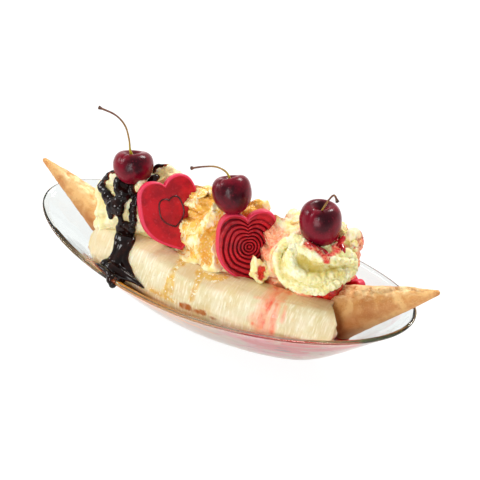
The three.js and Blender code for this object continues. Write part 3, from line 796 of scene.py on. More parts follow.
def dress_banana(obj, banana):
    p = points_of(obj)
    angle = np.arctan2(p[:, 2] - BANANA_HEIGHT, (p[:, 1] - banana_axis(banana, p[:, 0])) * -banana["side"])
    skinned = angle > 0.6
    ridge = angle - ridge_angle(p[:, 0]) + 0.05 * noise(p, 6, 2, 2)
    tan = 0.62 * smoothstep(0.10, -0.06, ridge) * skinned * (0.85 + 0.4 * noise(p, 7, 14, 2))
    tan = tan * smoothstep(-62, -48, p[:, 0])
    line = bell(ridge, 0.03) + 0.7 * bell(ridge - 1.22, 0.025)
    broken = smoothstep(-0.1, 0.2, noise(p * (0.2, 1, 1), 5, 15, 2))
    tan = tan + 0.55 * line * broken * skinned * smoothstep(5, 30, p[:, 0])
    end = smoothstep(banana["end"] - 1.0, banana["end"] + 1.5, p[:, 0]) * (0.35 + 0.3 * noise(p, 2, 4, 2))
    # the last term darkens the left end, under the left scoop, as painted shade
    mask(obj, "tan", np.maximum.reduce([tan, end, 0.4 * smoothstep(-54, -66, p[:, 0])]))
    near = banana["side"] < 0
    drips = 0.95 + 0.45 * noise(p * (1, 0.3, 0.3), 1.4, 16, 2)
    mask(obj, "caramel", 0.95 * cover(p, CARAMEL_RUNS, 0.7, 7, 1.1) * drips if near else 0.0)
    wash = 0.5 * cover(p, RED_WASH, 0.3, 17, 2.0)
    mask(obj, "red", np.maximum(wash, 0.9 * cover(p, RED_RUNS, 0.4, 8, 1.1) * drips) if near else 0.0)
    worn = 0.6 * smoothstep(0.5, 2.0, p[:, 0] - banana["end"] - end_slant(p) * near)
    worn = worn * smoothstep(-0.15, 0.25, noise(p, 2.2, 19, 2))
    shade = 0.9 * cover(p, BANANA_SHADE, 1.8, 12, 0.7) * drips if near else 0.0
    # the worn brown edge of the broken end, and painted shade along the routes
    mask(obj, "shade", np.maximum(worn, shade))


banana = banana_look().material
near_banana = make_banana("near_banana", NEAR, banana)
far_banana = make_banana("far_banana", FAR, banana)
dress_banana(near_banana, NEAR)
dress_banana(far_banana, FAR)
belongs(near_banana, "banana_flesh", "banana_near")
belongs(far_banana, "banana_flesh", "banana_far")
near_banana_tree = tree_of(near_banana)

# ------------------------------------------------------------------ fondant hearts

HEART_THICKNESS, HEART_EDGE, HEART_SIDES = 5.5, 1.25, 320
HEART_REACH, HEART_TALL = 17.4, 0.97  # from its middle to its sides, and its height against its width
HEARTS = {
    "heart_plain": {
        "centre": (-30.6, -6.6, 68.9), "right": (0.58, 0.812, 0.069), "up": (-0.40, 0.224, 0.88),
        "size": 1.03,
    },
    "heart_rings": {
        "centre": (19.0, -4.5, 63.5), "right": (0.736, 0.677, 0.0), "up": (-0.21, 0.229, 0.951),
        "size": 1.04,
    },
    "heart_sunk": {
        "centre": (71, 22.35, 35.7), "right": (0.96, -0.28, 0), "up": (0, 0.26, 0.96), "size": 0.42,
    },
}


def heart_reach(turn):
    """How far a heart reaches from its middle, by angle from the notch between its lobes."""
    a = np.minimum(np.mod(turn, 2 * math.pi), 2 * math.pi - np.mod(turn, 2 * math.pi))
    lobe, notch = 4.9 * bell(a - 0.56, 0.48), 3.0 * np.exp(-a / 0.17)
    tip = 5.0 * np.exp(-(math.pi - a) / 0.35)
    return HEART_REACH + lobe - notch + tip


def heart_frame(heart):
    right = unit(heart["right"])
    up = np.asarray(heart["up"], float)
    up = unit(up - (up @ right) * right)
    return np.stack([right, up, np.cross(right, up)])


def make_heart(name, material, grooves=False):
    heart = HEARTS[name]
    sides, turn, half = HEART_SIDES, turns(HEART_SIDES), HEART_THICKNESS / 2
    reach = heart_reach(turn) * heart["size"]

    def ring(share, inset, depth):
        out = (reach - inset) * share
        high = out * np.cos(turn) * HEART_TALL
        return np.stack([out * np.sin(turn), high, np.broadcast_to(depth, sides)], -1)

    rings = [ring(s, HEART_EDGE, -half) for s in (0.1, 0.5, 0.9)]
    for a in np.linspace(0, math.pi / 2, 6)[1:]:
        rings.append(ring(1, HEART_EDGE * (1 - math.sin(a)), -half + HEART_EDGE * (1 - math.cos(a))))
    rings.append(ring(1, 0, 0))
    for a in np.linspace(0, math.pi / 2, 7):
        rings.append(ring(1, HEART_EDGE * (1 - math.cos(a)), half - HEART_EDGE * (1 - math.sin(a))))
    shares = np.linspace(1, 0.02, 170 if grooves else 50)[1:]
    dark = []
    for share in shares:
        flat = ring(share, HEART_EDGE, half)
        if grooves:
            # rings that are round in the middle and follow the heart at its edge, off centre and uneven
            round_share = 16.2 / reach
            bent = share**1.6
            spot = ring(share * (bent + (1 - bent) * round_share), HEART_EDGE, half)
            flat[:, :2] = spot[:, :2]
            wander = 0.35 * noise(spot, 7, 170, 2)
            place = 8.4 * share**0.86 * (1 + 0.10 * np.sin(turn + 0.6) * share) + wander * share
            groove = np.abs(np.cos(math.pi * place)) ** 7
            smooth_lobe = 1 - 0.75 * smoothstep(0.72, 0.95, share) * bell(turn - 0.75, 0.55)
            fade = smoothstep(1.0, 0.93, share) * smooth_lobe
            relief = -1.1 * groove + 0.3 * (1 - groove)
            flat[:, 2] = half + relief * fade + 0.25 * noise(spot, 2.2, 174, 2) * fade
            # how far into a groove each point lies, which the look paints dark as painted shade
            dark.append(groove * fade)
        rings.append(flat)
    first_flat = 1 + sides * (len(rings) - len(shares))
    rings = np.array(rings)
    obj = stack(name + "_sugar", (0, 0, -half), rings, (0, 0, rings[-1][:, 2].mean()), material)
    p = points_of(obj)
    p = p + normals_of(obj) * (0.2 * noise(p, 7, 171, 2) + 0.07 * noise(p, 1.8, 172, 2))[:, None]
    move_points(obj, p @ heart_frame(heart) + heart["centre"])
    # the sides and rounded edges, which the look paints a lighter pink as a painted highlight
    on_side = np.ones(len(p))
    on_side[first_flat:] = 0
    mask(obj, "side", on_side)
    values = np.zeros(len(p))
    if grooves:
        values[first_flat:-1] = np.concatenate(dark)
    mask(obj, "groove", values)
    return obj


def fondant_look():
    look = Look(
        "red_fondant", Roughness=0.38, Specular_IOR_Level=0.36, Subsurface_Weight=0.08, Subsurface_Scale=0.0015
    )
    base = look.mix(look.patches(0.35, 0.65, 8, 4, 0.6), (198, 18, 35), (156, 10, 27))
    base = look.mix(look.patches(0.58, 0.72, 1.5, 3), base, (206, 60, 74), 0.45)
    # painted highlight: the sides and rounded edges lighter pink
    base = look.mix(look.attribute("side"), base, (226, 56, 88), 0.8)
    # painted shade in the grooves
    base = look.mix(look.attribute("groove"), base, (78, 4, 16), 0.9)
    look.set(Base_Color=base)
    look.bump(look.noise(0.9, 3), look.noise(3, 2), strength=0.3, distance=0.3)
    return look


PIPING_STEPS, PIPING_SIDES, PIPING_RADIUS = 160, 12, 0.45


def heart_line(heart, scale):
    """The outline of a small heart, in the middle of a heart's face."""
    turn = 2 * math.pi * np.linspace(0, 1, PIPING_STEPS)
    out = heart_reach(turn) * scale
    depth = np.full(PIPING_STEPS, HEART_THICKNESS / 2 + 0.05)
    line = np.stack([out * np.sin(turn), out * np.cos(turn) + 0.5, depth], -1)
    return line @ heart_frame(heart) + heart["centre"]


BEFORE_HEART = (31.0, -15.0, 57.0)  # a small lump of ice cream stands before the ringed heart


def pressed_by_hearts(p):
    """Moves points that would stand in or before one of the two large hearts to just behind its back."""
    for heart in (HEARTS["heart_plain"], HEARTS["heart_rings"]):
        place = (p - heart["centre"]) @ heart_frame(heart).T
        reach = heart_reach(np.arctan2(place[:, 0], place[:, 1] / HEART_TALL)) * heart["size"]
        inside = smoothstep(1.2, 1.0, np.hypot(place[:, 0], place[:, 1] / HEART_TALL) / reach)
        inside = inside * smoothstep(6.5, 9.0, distance_to_spot(p, BEFORE_HEART, (1, 1, 0.8)))
        back = -HEART_THICKNESS / 2 - 0.15
        before = (place[:, 2] > back) & (place[:, 2] < 16)
        push = np.where(before, inside * (back - place[:, 2]), 0)
        p = p + push[:, None] * heart_frame(heart)[2]
    return p


fondant = fondant_look().material
belongs(make_heart("heart_plain", fondant), "red_fondant", "heart_plain")
belongs(make_heart("heart_rings", fondant, grooves=True), "red_fondant", "heart_rings")
belongs(make_heart("heart_sunk", fondant), "red_fondant", "heart_sunk")
piping_look = Look("piping", Roughness=0.3)
piping_look.set(Base_Color=piping_look.mix(piping_look.patches(0.4, 0.6, 2, 2), (58, 4, 12), (84, 8, 18)))
line = heart_line(HEARTS["heart_plain"], 0.4)
thick = PIPING_RADIUS * (1 + 0.25 * noise(line, 2.5, 180, 2))
piping = tube("heart_piping", line, thick, PIPING_SIDES, (0.3, -0.8, 0.5), piping_look.material)
belongs(piping, "red_fondant")

# ------------------------------------------------------------------ ice cream

# each scoop's ball, and the lumps on it: centre, radius, depth of their crags and seed
SCOOPS = {
    "left_scoop": {
        "centre": (-61.5, 3.5, 51.0), "radii": (23.0, 19.5, 24.5), "seed": 1,
        "lumps": [
            ((-47, 11, 70), 10, 2, 7), ((-74, -2, 62.5), 8, 1.2, 5), ((-70.5, 0.5, 70), 6.5, 1.2, 6),
            ((-45, 13, 76.0), 5.8, 1.8, 9), ((-50.6, -5.0, 80), 1.9, 0.4, 10),
            ((-51.8, -6, 77.6), 2.0, 0.5, 21),
        ],
    },
    "middle_scoop": {
        "centre": (-3.5, 4.0, 57.0), "radii": (25.5, 20.5, 25.5), "seed": 2,
        "lumps": [
            ((-15.6, 2, 77.4), 5.6, 1.8, 11), ((-8.5, 5, 77), 6, 1.6, 12), ((11.8, 13, 76.6), 4.4, 2.2, 13),
            ((10, 13, 73), 6, 1.6, 14), ((12.5, 7, 75), 5, 1.4, 15),
        ],
    },
    "right_scoop": {
        "centre": (52.0, 5.0, 60.5), "radii": (27.0, 20.5, 25.0), "seed": 3,
        "lumps": [
            ((31.5, -12.5, 54.5), 5.2, 1.4, 8), ((30.8, -14.2, 59.0), 4.2, 1.4, 22),
            ((73, 4, 75), 7.6, 2.6, 9), ((38.5, 9, 80), 4.4, 1.8, 16), ((43.5, 9, 79.5), 5.4, 1.8, 17),
            ((74.5, 10, 81.5), 4.4, 2.2, 18), ((76, 9, 78.5), 4.2, 2.0, 19), ((66, 9, 79), 6.2, 2.0, 20),
        ],
    },
}
CARAMEL_SPOT = (-47.6, -3.0, 79.6)  # on the left scoop, beside its cherry
# places on the right scoop where the red sauce lies
RIGHT_CHERRY_FOOT, SMALL_RED_SPOT, LOW_RED_SPOT = (62, -2, 82), (34.2, -16.5, 58.5), (43.5, -13, 50)
SCOOP_VOXEL, CREAM_VOXEL, SAUCE_VOXEL = 0.62, 0.5, 0.42


def scoop_lump(shape):
    """A craggy ball of ice cream whose lower half reaches down into the pool."""
    d, faces = ball_mesh(6)
    rx, ry, rz = shape["radii"]
    below = shape["centre"][2] - POOL_LEVEL + 0.5
    on_ball = d * np.stack([np.full(len(d), rx), np.full(len(d), ry), np.where(d[:, 2] < 0, below, rz)], -1)
    turn = np.arctan2(d[:, 1], d[:, 0])
    seed = shape["seed"]
    folds = 0.8 * np.sin(9 * turn + 3 * d[:, 2] + seed) * (1 - d[:, 2] ** 2)
    rough = 1.9 * crags(on_ball, 6.5, seed) + 1.1 * crags(on_ball, 3.6, seed + 5)
    skirt = bell(d[:, 2] + 0.45, 0.22) * 2.4 * (0.6 + 0.4 * np.sin(5 * turn + seed))
    return on_ball + d * (rough - 1.6 + folds + skirt)[:, None] + np.asarray(shape["centre"]), faces


def small_lump(centre, radius, depth, seed):
    d, faces = ball_mesh(5)
    p = d * radius
    return p + d * (depth * (crags(p, 4.2, seed) - 0.5))[:, None] + np.asarray(centre), faces


def torn_relief(p, fold, crag, fine, seed):
    """Height of the relief of scooped ice cream: folds drawn down it, crags, torn strands and grains."""
    warp = p + 1.9 * np.stack([noise(p, 6, seed + i, 2) for i in (1, 2, 3)], -1)
    folds = ridged(warp * (1, 1, 0.3), 9.0, seed + 4, 1) - 0.3
    rough = np.maximum(0, ridged(warp * (1, 1, 0.55), 5.0, seed + 5, 2) - 0.15)
    torn = np.maximum(0, ridged(warp, 2.3, seed + 6, 2) - 0.3)
    torn = torn - 1.1 * np.maximum(0, noise(p, 1.8, seed + 7, 2) - 0.3)
    grains = 0.2 * noise(p, 0.8, seed + 8, 2)
    return fold * folds + crag * rough + fine * (torn + grains), folds + 0.5 * rough


def make_scoop(name, relief, material):
    """relief(points) gives the height of the relief, and how high on its folds each point is."""
    shape = SCOOPS[name]
    lumps = [scoop_lump(shape), *(small_lump(*lump) for lump in shape["lumps"])]
    obj = melted(name, lumps, SCOOP_VOXEL, material, 1)
    p = points_of(obj)
    height, crest = relief(p)
    move_points(obj, pressed_by_hearts(p + normals_of(obj) * height[:, None]))
    # low on the folds: the looks paint this darker yellow as painted shade in the fold valleys, and the
    # caramel look also gathers its sauce there
    mask(obj, "deep", smoothstep(0.75, -0.15, crest))
    return obj


def cream_grain(look):
    look.bump(look.noise(1.1, 4, 0.65), look.times(look.noise(0.45, 2), 0.5), strength=0.4, distance=0.5)


def vanilla_look():
    look = Look("vanilla", Subsurface_Weight=0.2, Subsurface_Scale=0.002, Roughness=0.5)
    base = look.mix(look.patches(0.4, 0.65, 6, 3), (248, 244, 206), (240, 228, 172))
    # painted shade in the fold valleys
    base = look.mix(look.attribute("deep"), base, (222, 200, 116), 0.6)
    base = look.mix(look.attribute("brown"), base, (150, 76, 34))
    look.set(Base_Color=base)
    cream_grain(look)
    return look


def caramel_look():
    look = Look("caramel_vanilla", Subsurface_Weight=0.15, Subsurface_Scale=0.002)
    warp = look.noise(4.5, 4, 0.6, (1.0, 1.0, 0.42), 1.0)
    amount = look.math("ADD", look.times(look.attribute("deep"), 0.30), look.times(warp, 0.8))
    amount = look.less(amount, look.times(look.attribute("foot"), 0.13))
    amount = look.spread(amount, 0.37, 0.50)
    sauce = look.mix(look.patches(0.42, 0.62, 3.2, 3), (248, 201, 74), (238, 168, 38))
    # the sauce painted darker in the fold valleys, as painted shade
    sauce = look.mix(look.attribute("deep"), sauce, (214, 132, 14), 0.5)
    sauce = look.mix(look.patches(0.56, 0.66, 1.3, 2), sauce, (255, 242, 196), 0.6)
    base = look.mix(look.patches(0.4, 0.6, 4, 3), (252, 241, 200), (246, 223, 146))
    base = look.mix(amount, base, sauce, 0.94)
    look.set(Base_Color=base, Roughness=look.less(0.5, look.times(amount, 0.3)))
    cream_grain(look)
    return look


def berry_look():
    look = Look("berry_vanilla", Subsurface_Weight=0.15, Subsurface_Scale=0.002)
    cream = look.mix(look.patches(0.4, 0.6, 4, 3), (252, 242, 204), (244, 228, 150))
    # painted shade in the fold valleys
    cream = look.mix(look.attribute("deep"), cream, (222, 192, 84), 0.6)
    pink = look.mix(look.patches(0.4, 0.62, 2.6, 4, 0.6, None, 0.7), (253, 178, 136), (246, 124, 84))
    pink = look.mix(look.patches(0.56, 0.66, 1.9, 3), pink, (228, 70, 38), 0.6)
    pink = look.mix(look.patches(0.55, 0.65, 1.4, 3), pink, (255, 226, 192), 0.6)
    base = look.mix(look.attribute("pink"), cream, pink)
    red = look.mix(look.patches(0.4, 0.6, 2.0, 3), (232, 58, 38), (186, 24, 24))
    base = look.mix(look.attribute("red"), base, red)
    wet = look.math("MAXIMUM", look.attribute("red"), look.times(look.attribute("pink"), 0.4))
    look.set(Base_Color=base, Roughness=look.less(0.5, look.times(wet, 0.3)))
    cream_grain(look)
    return look


SWIRL_CENTRE, SWIRL_RADII = np.array((64.0, -6.2, 70.0)), (22.3, 16.2, 13.5)
SWIRL_AXIS = unit((0.48, -0.7, 0.52))
SWIRL_SIDE = unit(np.cross((0, 0, 1), SWIRL_AXIS))
SWIRL_UP = np.cross(SWIRL_AXIS, SWIRL_SIDE)


def round_the_swirl(p):
    """Distance from the piped cream's axis, where its edge is at 19, and how far to the left a point is."""
    side, up = (p - SWIRL_CENTRE) @ SWIRL_SIDE, (p - SWIRL_CENTRE) @ SWIRL_UP
    across = 19 * np.hypot(side / SWIRL_RADII[0], up / SWIRL_RADII[1]) + 0.7 * noise(p, 6, 81, 2)
    return across, smoothstep(-6, -12, side)


def berry_relief(p):
    """Smooth drawn bands to the left of the piped cream, crumbly peaks to its right."""
    height, crest = torn_relief(p, 1.0, 1.9, 1.3, 80)
    across, left = round_the_swirl(p)
    bands = 1.1 * bell(across - 20.4, 0.7) + 1.2 * bell(across - 28.4, 0.9) + 0.25 * np.sin(across * 3.2)
    bands = bands + 0.7 * bell(across - 33, 1)
    mixed = left * smoothstep(40, 33, across)
    return height * (1 - 0.7 * mixed) + bands * mixed, crest + mixed * (0.6 - crest)


def dress_left_scoop(obj):
    p = points_of(obj)
    caramel = distance_to_spot(p, CARAMEL_SPOT, (1, 0.8, 1)) + 1.2 * noise(p, 2.4, 71, 2)
    mask(obj, "brown", smoothstep(4.2, 3.0, caramel))


def dress_middle_scoop(obj):
    p = points_of(obj)
    mask(obj, "foot", smoothstep(58, 44, p[:, 2] + 6 * noise(p, 7, 70, 2)))


def shape_right_scoop(obj):
    """Draws the scoop in under the piped cream and at its lower right."""
    p = points_of(obj)
    under = smoothstep(61, 53, p[:, 2]) * smoothstep(34, 42, p[:, 0])
    p[:, 1] += 6.0 * under * smoothstep(-3, -14, p[:, 1])
    p[:, 0] -= 7.0 * smoothstep(62, 54, p[:, 2]) * smoothstep(62, 76, p[:, 0])
    move_points(obj, p)


def dress_right_scoop(obj):
    """Pink bands drawn round the piped cream to its left, pink patches to its right, and red sauce."""
    p = points_of(obj)
    across, left = round_the_swirl(p)
    bands = bell(across - 21.3, 0.5) + smoothstep(22.0, 22.8, across) * smoothstep(27.8, 27.0, across)
    bands = bands + smoothstep(29.0, 29.8, across) * smoothstep(33, 32, across)
    patches = smoothstep(-0.4, -0.05, noise(p, 5, 83, 3)) * smoothstep(87, 80, p[:, 2])
    high = smoothstep(80, 84, p[:, 2]) * smoothstep(70, 60, p[:, 0])
    bands = bands * smoothstep(6.0, 8.5, distance_to_spot(p, BEFORE_HEART, (1, 1, 0.8)))
    pink = left * bands * (0.95 + 0.5 * noise(p, 3, 86, 2)) + (1 - left) * patches
    mask(obj, "pink", np.clip(pink, 0, 1) * (1 - 0.7 * high))
    foot = distance_to_spot(p, RIGHT_CHERRY_FOOT, (1, 1, 0.8)) + 5 * noise(p, 4, 84, 3)
    small = distance_to_spot(p, SMALL_RED_SPOT, (1, 1, 0.5)) + 1.2 * noise(p, 3, 87, 2)
    low = distance_to_spot(p, LOW_RED_SPOT, (0.6, 1, 1)) + 1.5 * noise(p, 3, 88, 2)
    red = smoothstep(15, 9, foot) + smoothstep(0.3, 0.5, noise(p, 4.5, 85, 3)) * smoothstep(58, 75, p[:, 0])
    red = red + smoothstep(3.4, 2.4, small) + smoothstep(5.5, 3.5, low)
    red = red + smoothstep(55, 51, p[:, 2]) * smoothstep(58, 64, p[:, 0])
    mask(obj, "red", np.clip(red, 0, 1))


vanilla, caramel_cream, berry_cream = vanilla_look().material, caramel_look().material, berry_look().material
left_scoop = make_scoop("left_scoop", lambda p: torn_relief(p, 0.9, 1.1, 0.8, 40), vanilla)
dress_left_scoop(left_scoop)
middle_scoop = make_scoop("middle_scoop", lambda p: torn_relief(p, 4.2, 1.4, 0.8, 60), caramel_cream)
dress_middle_scoop(middle_scoop)
right_scoop = make_scoop("right_scoop", berry_relief, berry_cream)
shape_right_scoop(right_scoop)
dress_right_scoop(right_scoop)
belongs(left_scoop, "vanilla", "scoop_left")
belongs(middle_scoop, "caramel_vanilla", "scoop_middle")
belongs(right_scoop, "berry_vanilla", "scoop_right")

# ------------------------------------------------------------------ piped cream

# ropes of piped cream: x, y, z and radius
SWIRL_LIP = [
    (53.3, -2.8, 82.2, 2.0), (49.6, -5.4, 81.9, 2.2), (46.7, -9.0, 79.9, 2.3), (44.9, -12.5, 77.1, 2.3),
    (44.4, -14.9, 74.7, 2.3), (45.2, -17.4, 71.2, 2.3), (47.8, -19.3, 67.0, 2.3), (51.5, -20.1, 63.3, 2.4),
    (56.1, -19.3, 60.8, 2.6), (61.9, -19.1, 61.4, 2.8), (67.4, -17.4, 61.7, 2.8), (72.2, -14.5, 62.0, 2.7),
    (75.9, -12.5, 65.2, 2.6), (78.9, -9.2, 67.2, 2.4), (81.4, -4.1, 68.9, 2.2), (81.9, 2.1, 69.9, 1.9),
]
SWIRL_RIDGE = [
    (53.7, -10.8, 81.6, 2.4), (53.4, -15.3, 79.6, 3.2), (54.7, -18.6, 76.9, 3.3), (57.3, -20.4, 74.2, 3.3),
    (61.2, -20.8, 71.7, 3.3), (66.0, -19.5, 70.4, 3.2), (71.1, -16.5, 70.8, 3.0), (75.3, -12.7, 71.8, 2.8),
    (78.8, -8.3, 72.2, 2.6), (81.3, -3.2, 71.7, 2.0),
]
SWIRL_FOLD = [
    (53.4, -7.7, 82.2, 3.2), (58.8, -11.8, 82.7, 3.8), (64.2, -12.7, 81.6, 3.8), (69.1, -11.7, 80.3, 3.4),
    (73.5, -9.8, 78.7, 2.8), (77.2, -6.8, 77.1, 2.6), (80.2, -2.4, 75.4, 2.4), (81.6, 2.2, 72.9, 1.8),
]
SWIRL_CREST = [
    (73.2, -7.6, 80.3, 2.0), (75.9, -3.7, 79.9, 2.4), (78.7, 0.2, 77.9, 2.4), (80.6, 3.0, 74.7, 1.8),
]
SWIRL_BERRY = [
    ([(60.7, -12.9, 86.4), (64.1, -13.4, 86.1), (67.6, -12.9, 84.5), (71.4, -13.0, 82.6),
      (73.0, -13.1, 80.2)], 1.7),
    ([(71.4, -13.0, 82.6), (73.6, -9.2, 81.8), (74.5, -4.3, 82.3), (76.4, -1.2, 83.7)], 1.5),
    ([(72.2, -3.7, 83.0), (73.8, 1.2, 84.6), (79.0, 4.2, 80.6)], 1.6),
]
# bands of painted shade in the piped cream's grooves and under its folds
SWIRL_OLIVE_SHADE = [
    ([(60.4, -16.2, 77.7), (63.7, -16.5, 74.5), (68.4, -17.0, 73.3), (73.7, -16.7, 73.9), (77.7, -12.9, 73.7),
      (81, -8, 74.6)], 3.4),
    ([(46.5, -15.9, 76.7), (47.0, -17.8, 73.3), (48.6, -19.4, 70.2), (52.2, -21.2, 67.5)], 1.9),
    ([(78.0, -9.3, 78.8), (79.8, -8.0, 76.7)], 2.0),
]
SWIRL_HOLLOW = [
    (61.7, -17.0, 75.9), (66.0, -16.3, 74.7), (71.2, -13.3, 74.3), (76.4, -7.8, 73.9), (79.1, -3.0, 72.6),
]


def rope(route, step=0.8):
    """Lumps of piped cream or thick sauce along a route of x, y, z and radius."""
    return [blob((x, y, z), (r, r), level=2) for x, y, z, r in resample(route, step)]


def in_swirl(p):
    """Place in the dome of piped cream, which has radius 1 there."""
    return ((p - SWIRL_CENTRE) @ np.stack([SWIRL_SIDE, SWIRL_UP, SWIRL_AXIS], -1)) / SWIRL_RADII


def make_swirl(material):
    d, faces = ball_mesh(5)
    dome = d * SWIRL_RADII * 0.905
    dome = SWIRL_CENTRE + dome[:, :1] * SWIRL_SIDE + dome[:, 1:2] * SWIRL_UP + dome[:, 2:] * SWIRL_AXIS
    lumps = [(dome, faces), *rope(SWIRL_LIP), *rope(SWIRL_RIDGE), *rope(SWIRL_FOLD), *rope(SWIRL_CREST)]
    obj = melted("cream_rosette", lumps, CREAM_VOXEL, material, 3)
    p = points_of(obj)
    distance = distance_to_route(p, SWIRL_HOLLOW)
    p = p - SWIRL_AXIS * (2.6 * bell(distance, 3.2) * (1 + 0.5 * noise(p, 4.5, 90, 2)))[:, None]
    place = in_swirl(p)
    side, up = place[:, 0], place[:, 1]
    low_right = smoothstep(0.1, 0.6, 0.35 * side - up) + smoothstep(0.35, 0.8, side + 0.4 * up)
    top_left = smoothstep(0.35, 0.7, up - 0.3 * side)
    rough = np.clip(0.55 + 1.0 * low_right + 0.9 * top_left, 0, 1.4) * smoothstep(3, 6, distance + 2)
    froth = 1.0 * np.maximum(0, ridged(p, 2.5, 92, 2) - 0.1) - 0.9 * np.maximum(0, noise(p, 1.6, 95, 2) - 0.2)
    drawn = 0.22 * np.sin(7 * np.arctan2(up, side) + 18 * np.hypot(side, up) + 2 * noise(p, 6, 96))
    move_points(obj, p + normals_of(obj) * (rough * froth + drawn + 0.22 * noise(p, 1.1, 94, 2))[:, None])
    p = points_of(obj)
    mask(obj, "berry", cover(p, SWIRL_BERRY, 1.4, 98, 0.9))
    # painted shade along those bands
    mask(obj, "olive_shade", cover(p, SWIRL_OLIVE_SHADE, 0.8, 99, 1.8) * (0.75 + 0.8 * noise(p, 2.2, 89, 2)))
    depth = np.linalg.norm(in_swirl(p), axis=1)
    # the hollow of the swirl, which the look paints dark yellow as painted shade
    mask(obj, "hollow", smoothstep(0.98, 0.84, depth + 0.03 * noise(p, 3, 97, 2)) * (place[:, 2] > -0.1))
    return obj


def cream_look():
    look = Look("piped_cream", Subsurface_Weight=0.2, Subsurface_Scale=0.002, Roughness=0.55)
    base = look.mix(look.patches(0.4, 0.6, 5, 3), (249, 245, 208), (241, 232, 166))
    base = look.mix(look.patches(0.5, 0.66, 7, 3, 0.6, None, 0.8), base, (226, 212, 130), 0.6)
    base = look.mix(look.patches(0.55, 0.7, 1.5, 3), base, (214, 196, 104), 0.45)
    # painted shade in the grooves and under the folds
    base = look.mix(look.attribute("olive_shade"), base, (208, 186, 88), 0.7)
    # painted shade in the swirl's hollow, patchy
    patchy = look.math("ADD", 0.35, look.times(look.patches(0.40, 0.60, 2.6, 3), 0.55))
    base = look.mix(look.times(look.attribute("hollow"), patchy), base, (202, 176, 70))
    berry = look.mix(look.patches(0.42, 0.62, 1.8, 3), (206, 36, 24), (240, 122, 92))
    base = look.mix(look.attribute("berry"), base, berry)
    look.set(Base_Color=base)
    look.bump(look.noise(0.9, 4, 0.7), look.noise(2.0, 2), strength=0.5, distance=0.55)
    return look


belongs(make_swirl(cream_look().material), "whipped_cream", "cream_swirl")

# ------------------------------------------------------------------ chocolate sauce

SAUCE_LIFT = 0.35  # how far a strand's middle stands off the surface, as a share of its half height


def strand(tree, route, seed):
    """Lumps of thick sauce along a route of x, y, z and half width, laid on a surface."""
    lumps = []
    path = resample(route, 0.7)
    wobble = noise(path[:, :3], 4.0, seed, 2)
    for (x, y, z, width), change in zip(path, wobble):
        spot, normal, _, _ = tree.find_nearest((x, y, z))
        width = max(0.5, width * (1 + 0.2 * change))
        high = min(1.9, 0.62 * width + 0.35)
        lumps.append(blob(np.array(spot) + np.array(normal) * SAUCE_LIFT * high, (width, high), normal))
    return lumps


def strands(tree, routes, seed):
    return [lump for i, route in enumerate(routes) for lump in strand(tree, route, seed + i)]


def sauce_mesh(name, lumps, under, material):
    """Melts lumps of sauce together, and marks where the sauce is thin."""
    obj = melted(name, lumps, SAUCE_VOXEL, material, 9)
    p = points_of(obj)
    depth = np.array([min(t.find_nearest(Vector(q))[3] for t in under) for q in p])
    mask(obj, "thin", smoothstep(0.95, 0.2, depth))
    return obj


def chocolate_look():
    look = Look("chocolate", Roughness=0.06, IOR=1.45, Specular_IOR_Level=0.3)
    base = look.mix(look.patches(0.4, 0.7, 5, 2), (16, 6, 5), (38, 15, 9))
    base = look.mix(look.attribute("thin"), base, (140, 58, 14), 0.85)
    look.set(Base_Color=base)
    look.bump(look.noise(4, 2), strength=0.15, distance=0.5)
    return look


left_tree = tree_of(left_scoop)
CHOCOLATE_CAP = [
    # the pool under the cherry
    [(-67.5, -4, 74.5, 2.4), (-64, -6.5, 75, 3.8), (-59.8, -8, 74.3, 5.0), (-56.5, -6, 74.6, 4.0),
     (-53.8, -3.5, 76, 2.4), (-51.8, -1.5, 77, 1.6)],
    [(-62, -8.5, 74.5, 4.0), (-60, -10.5, 73.2, 5.2), (-60, -12.6, 71.6, 4.4), (-61, -14.6, 69.4, 3.8),
     (-59.8, -16.4, 66.4, 3.2), (-58.4, -17.1, 63.4, 2.2)],
    # the stream round the left
    [(-70, 0, 77, 1.5), (-73.5, -3.2, 74.6, 1.7), (-77, -5.2, 72, 2.1), (-77, -8, 69.8, 2.3),
     (-74, -9.4, 68.4, 2.4), (-70.4, -11.2, 67.6, 3.2), (-68, -13.2, 65.4, 4.0), (-65.6, -15.2, 62.8, 3.6),
     (-64.2, -16.4, 60.2, 2.4)],
    [(-68.5, -12.4, 66.6, 3.2), (-64.5, -14.4, 66.2, 3.4), (-61, -15.6, 67, 3.4)],
    [(-66, -14.6, 63.4, 3.0), (-62.4, -16.2, 63.8, 2.8)],
    # the narrow stream in the middle
    [(-58.4, -17.1, 64, 1.9), (-57.2, -17.4, 61, 1.6), (-57, -17.3, 57.5, 1.8), (-56.6, -17, 54.5, 3.2),
     (-56, -16.8, 50.5, 4.2)],
    # the thin stream at the right
    [(-50.8, -8.4, 72.5, 1.4), (-52.4, -10.4, 70, 1.9), (-52.6, -12.6, 66.6, 2.1), (-52, -14.2, 63.2, 2.1),
     (-51, -15.6, 60, 2.1), (-51.2, -16.6, 56.4, 2.3), (-53, -17, 52, 3.6)],
    [(-60, -16.6, 53, 1.8), (-56.5, -17.2, 55.4, 2.2), (-52.5, -17, 55, 2.4)],
    # behind the cherry
    [(-49.5, 1, 77.8, 1.8), (-48.4, 3.6, 79.2, 2.4), (-47.8, 6.0, 78.6, 1.8)],
]
CHOCOLATE_ARC = [
    (-51.8, 9.5, 77.5, 1.3), (-52.6, 11.5, 79.6, 1.4), (-51.4, 12.6, 81.0, 1.4), (-49.1, 13, 81.7, 1.1),
    (-47.6, 13, 82.7, 0.9), (-45.6, 13, 82.9, 1.2), (-43.3, 13, 81.8, 1.3),
]
cap_lumps = strands(left_tree, CHOCOLATE_CAP, 100) + rope(CHOCOLATE_ARC, 0.6)
chocolate = chocolate_look().material

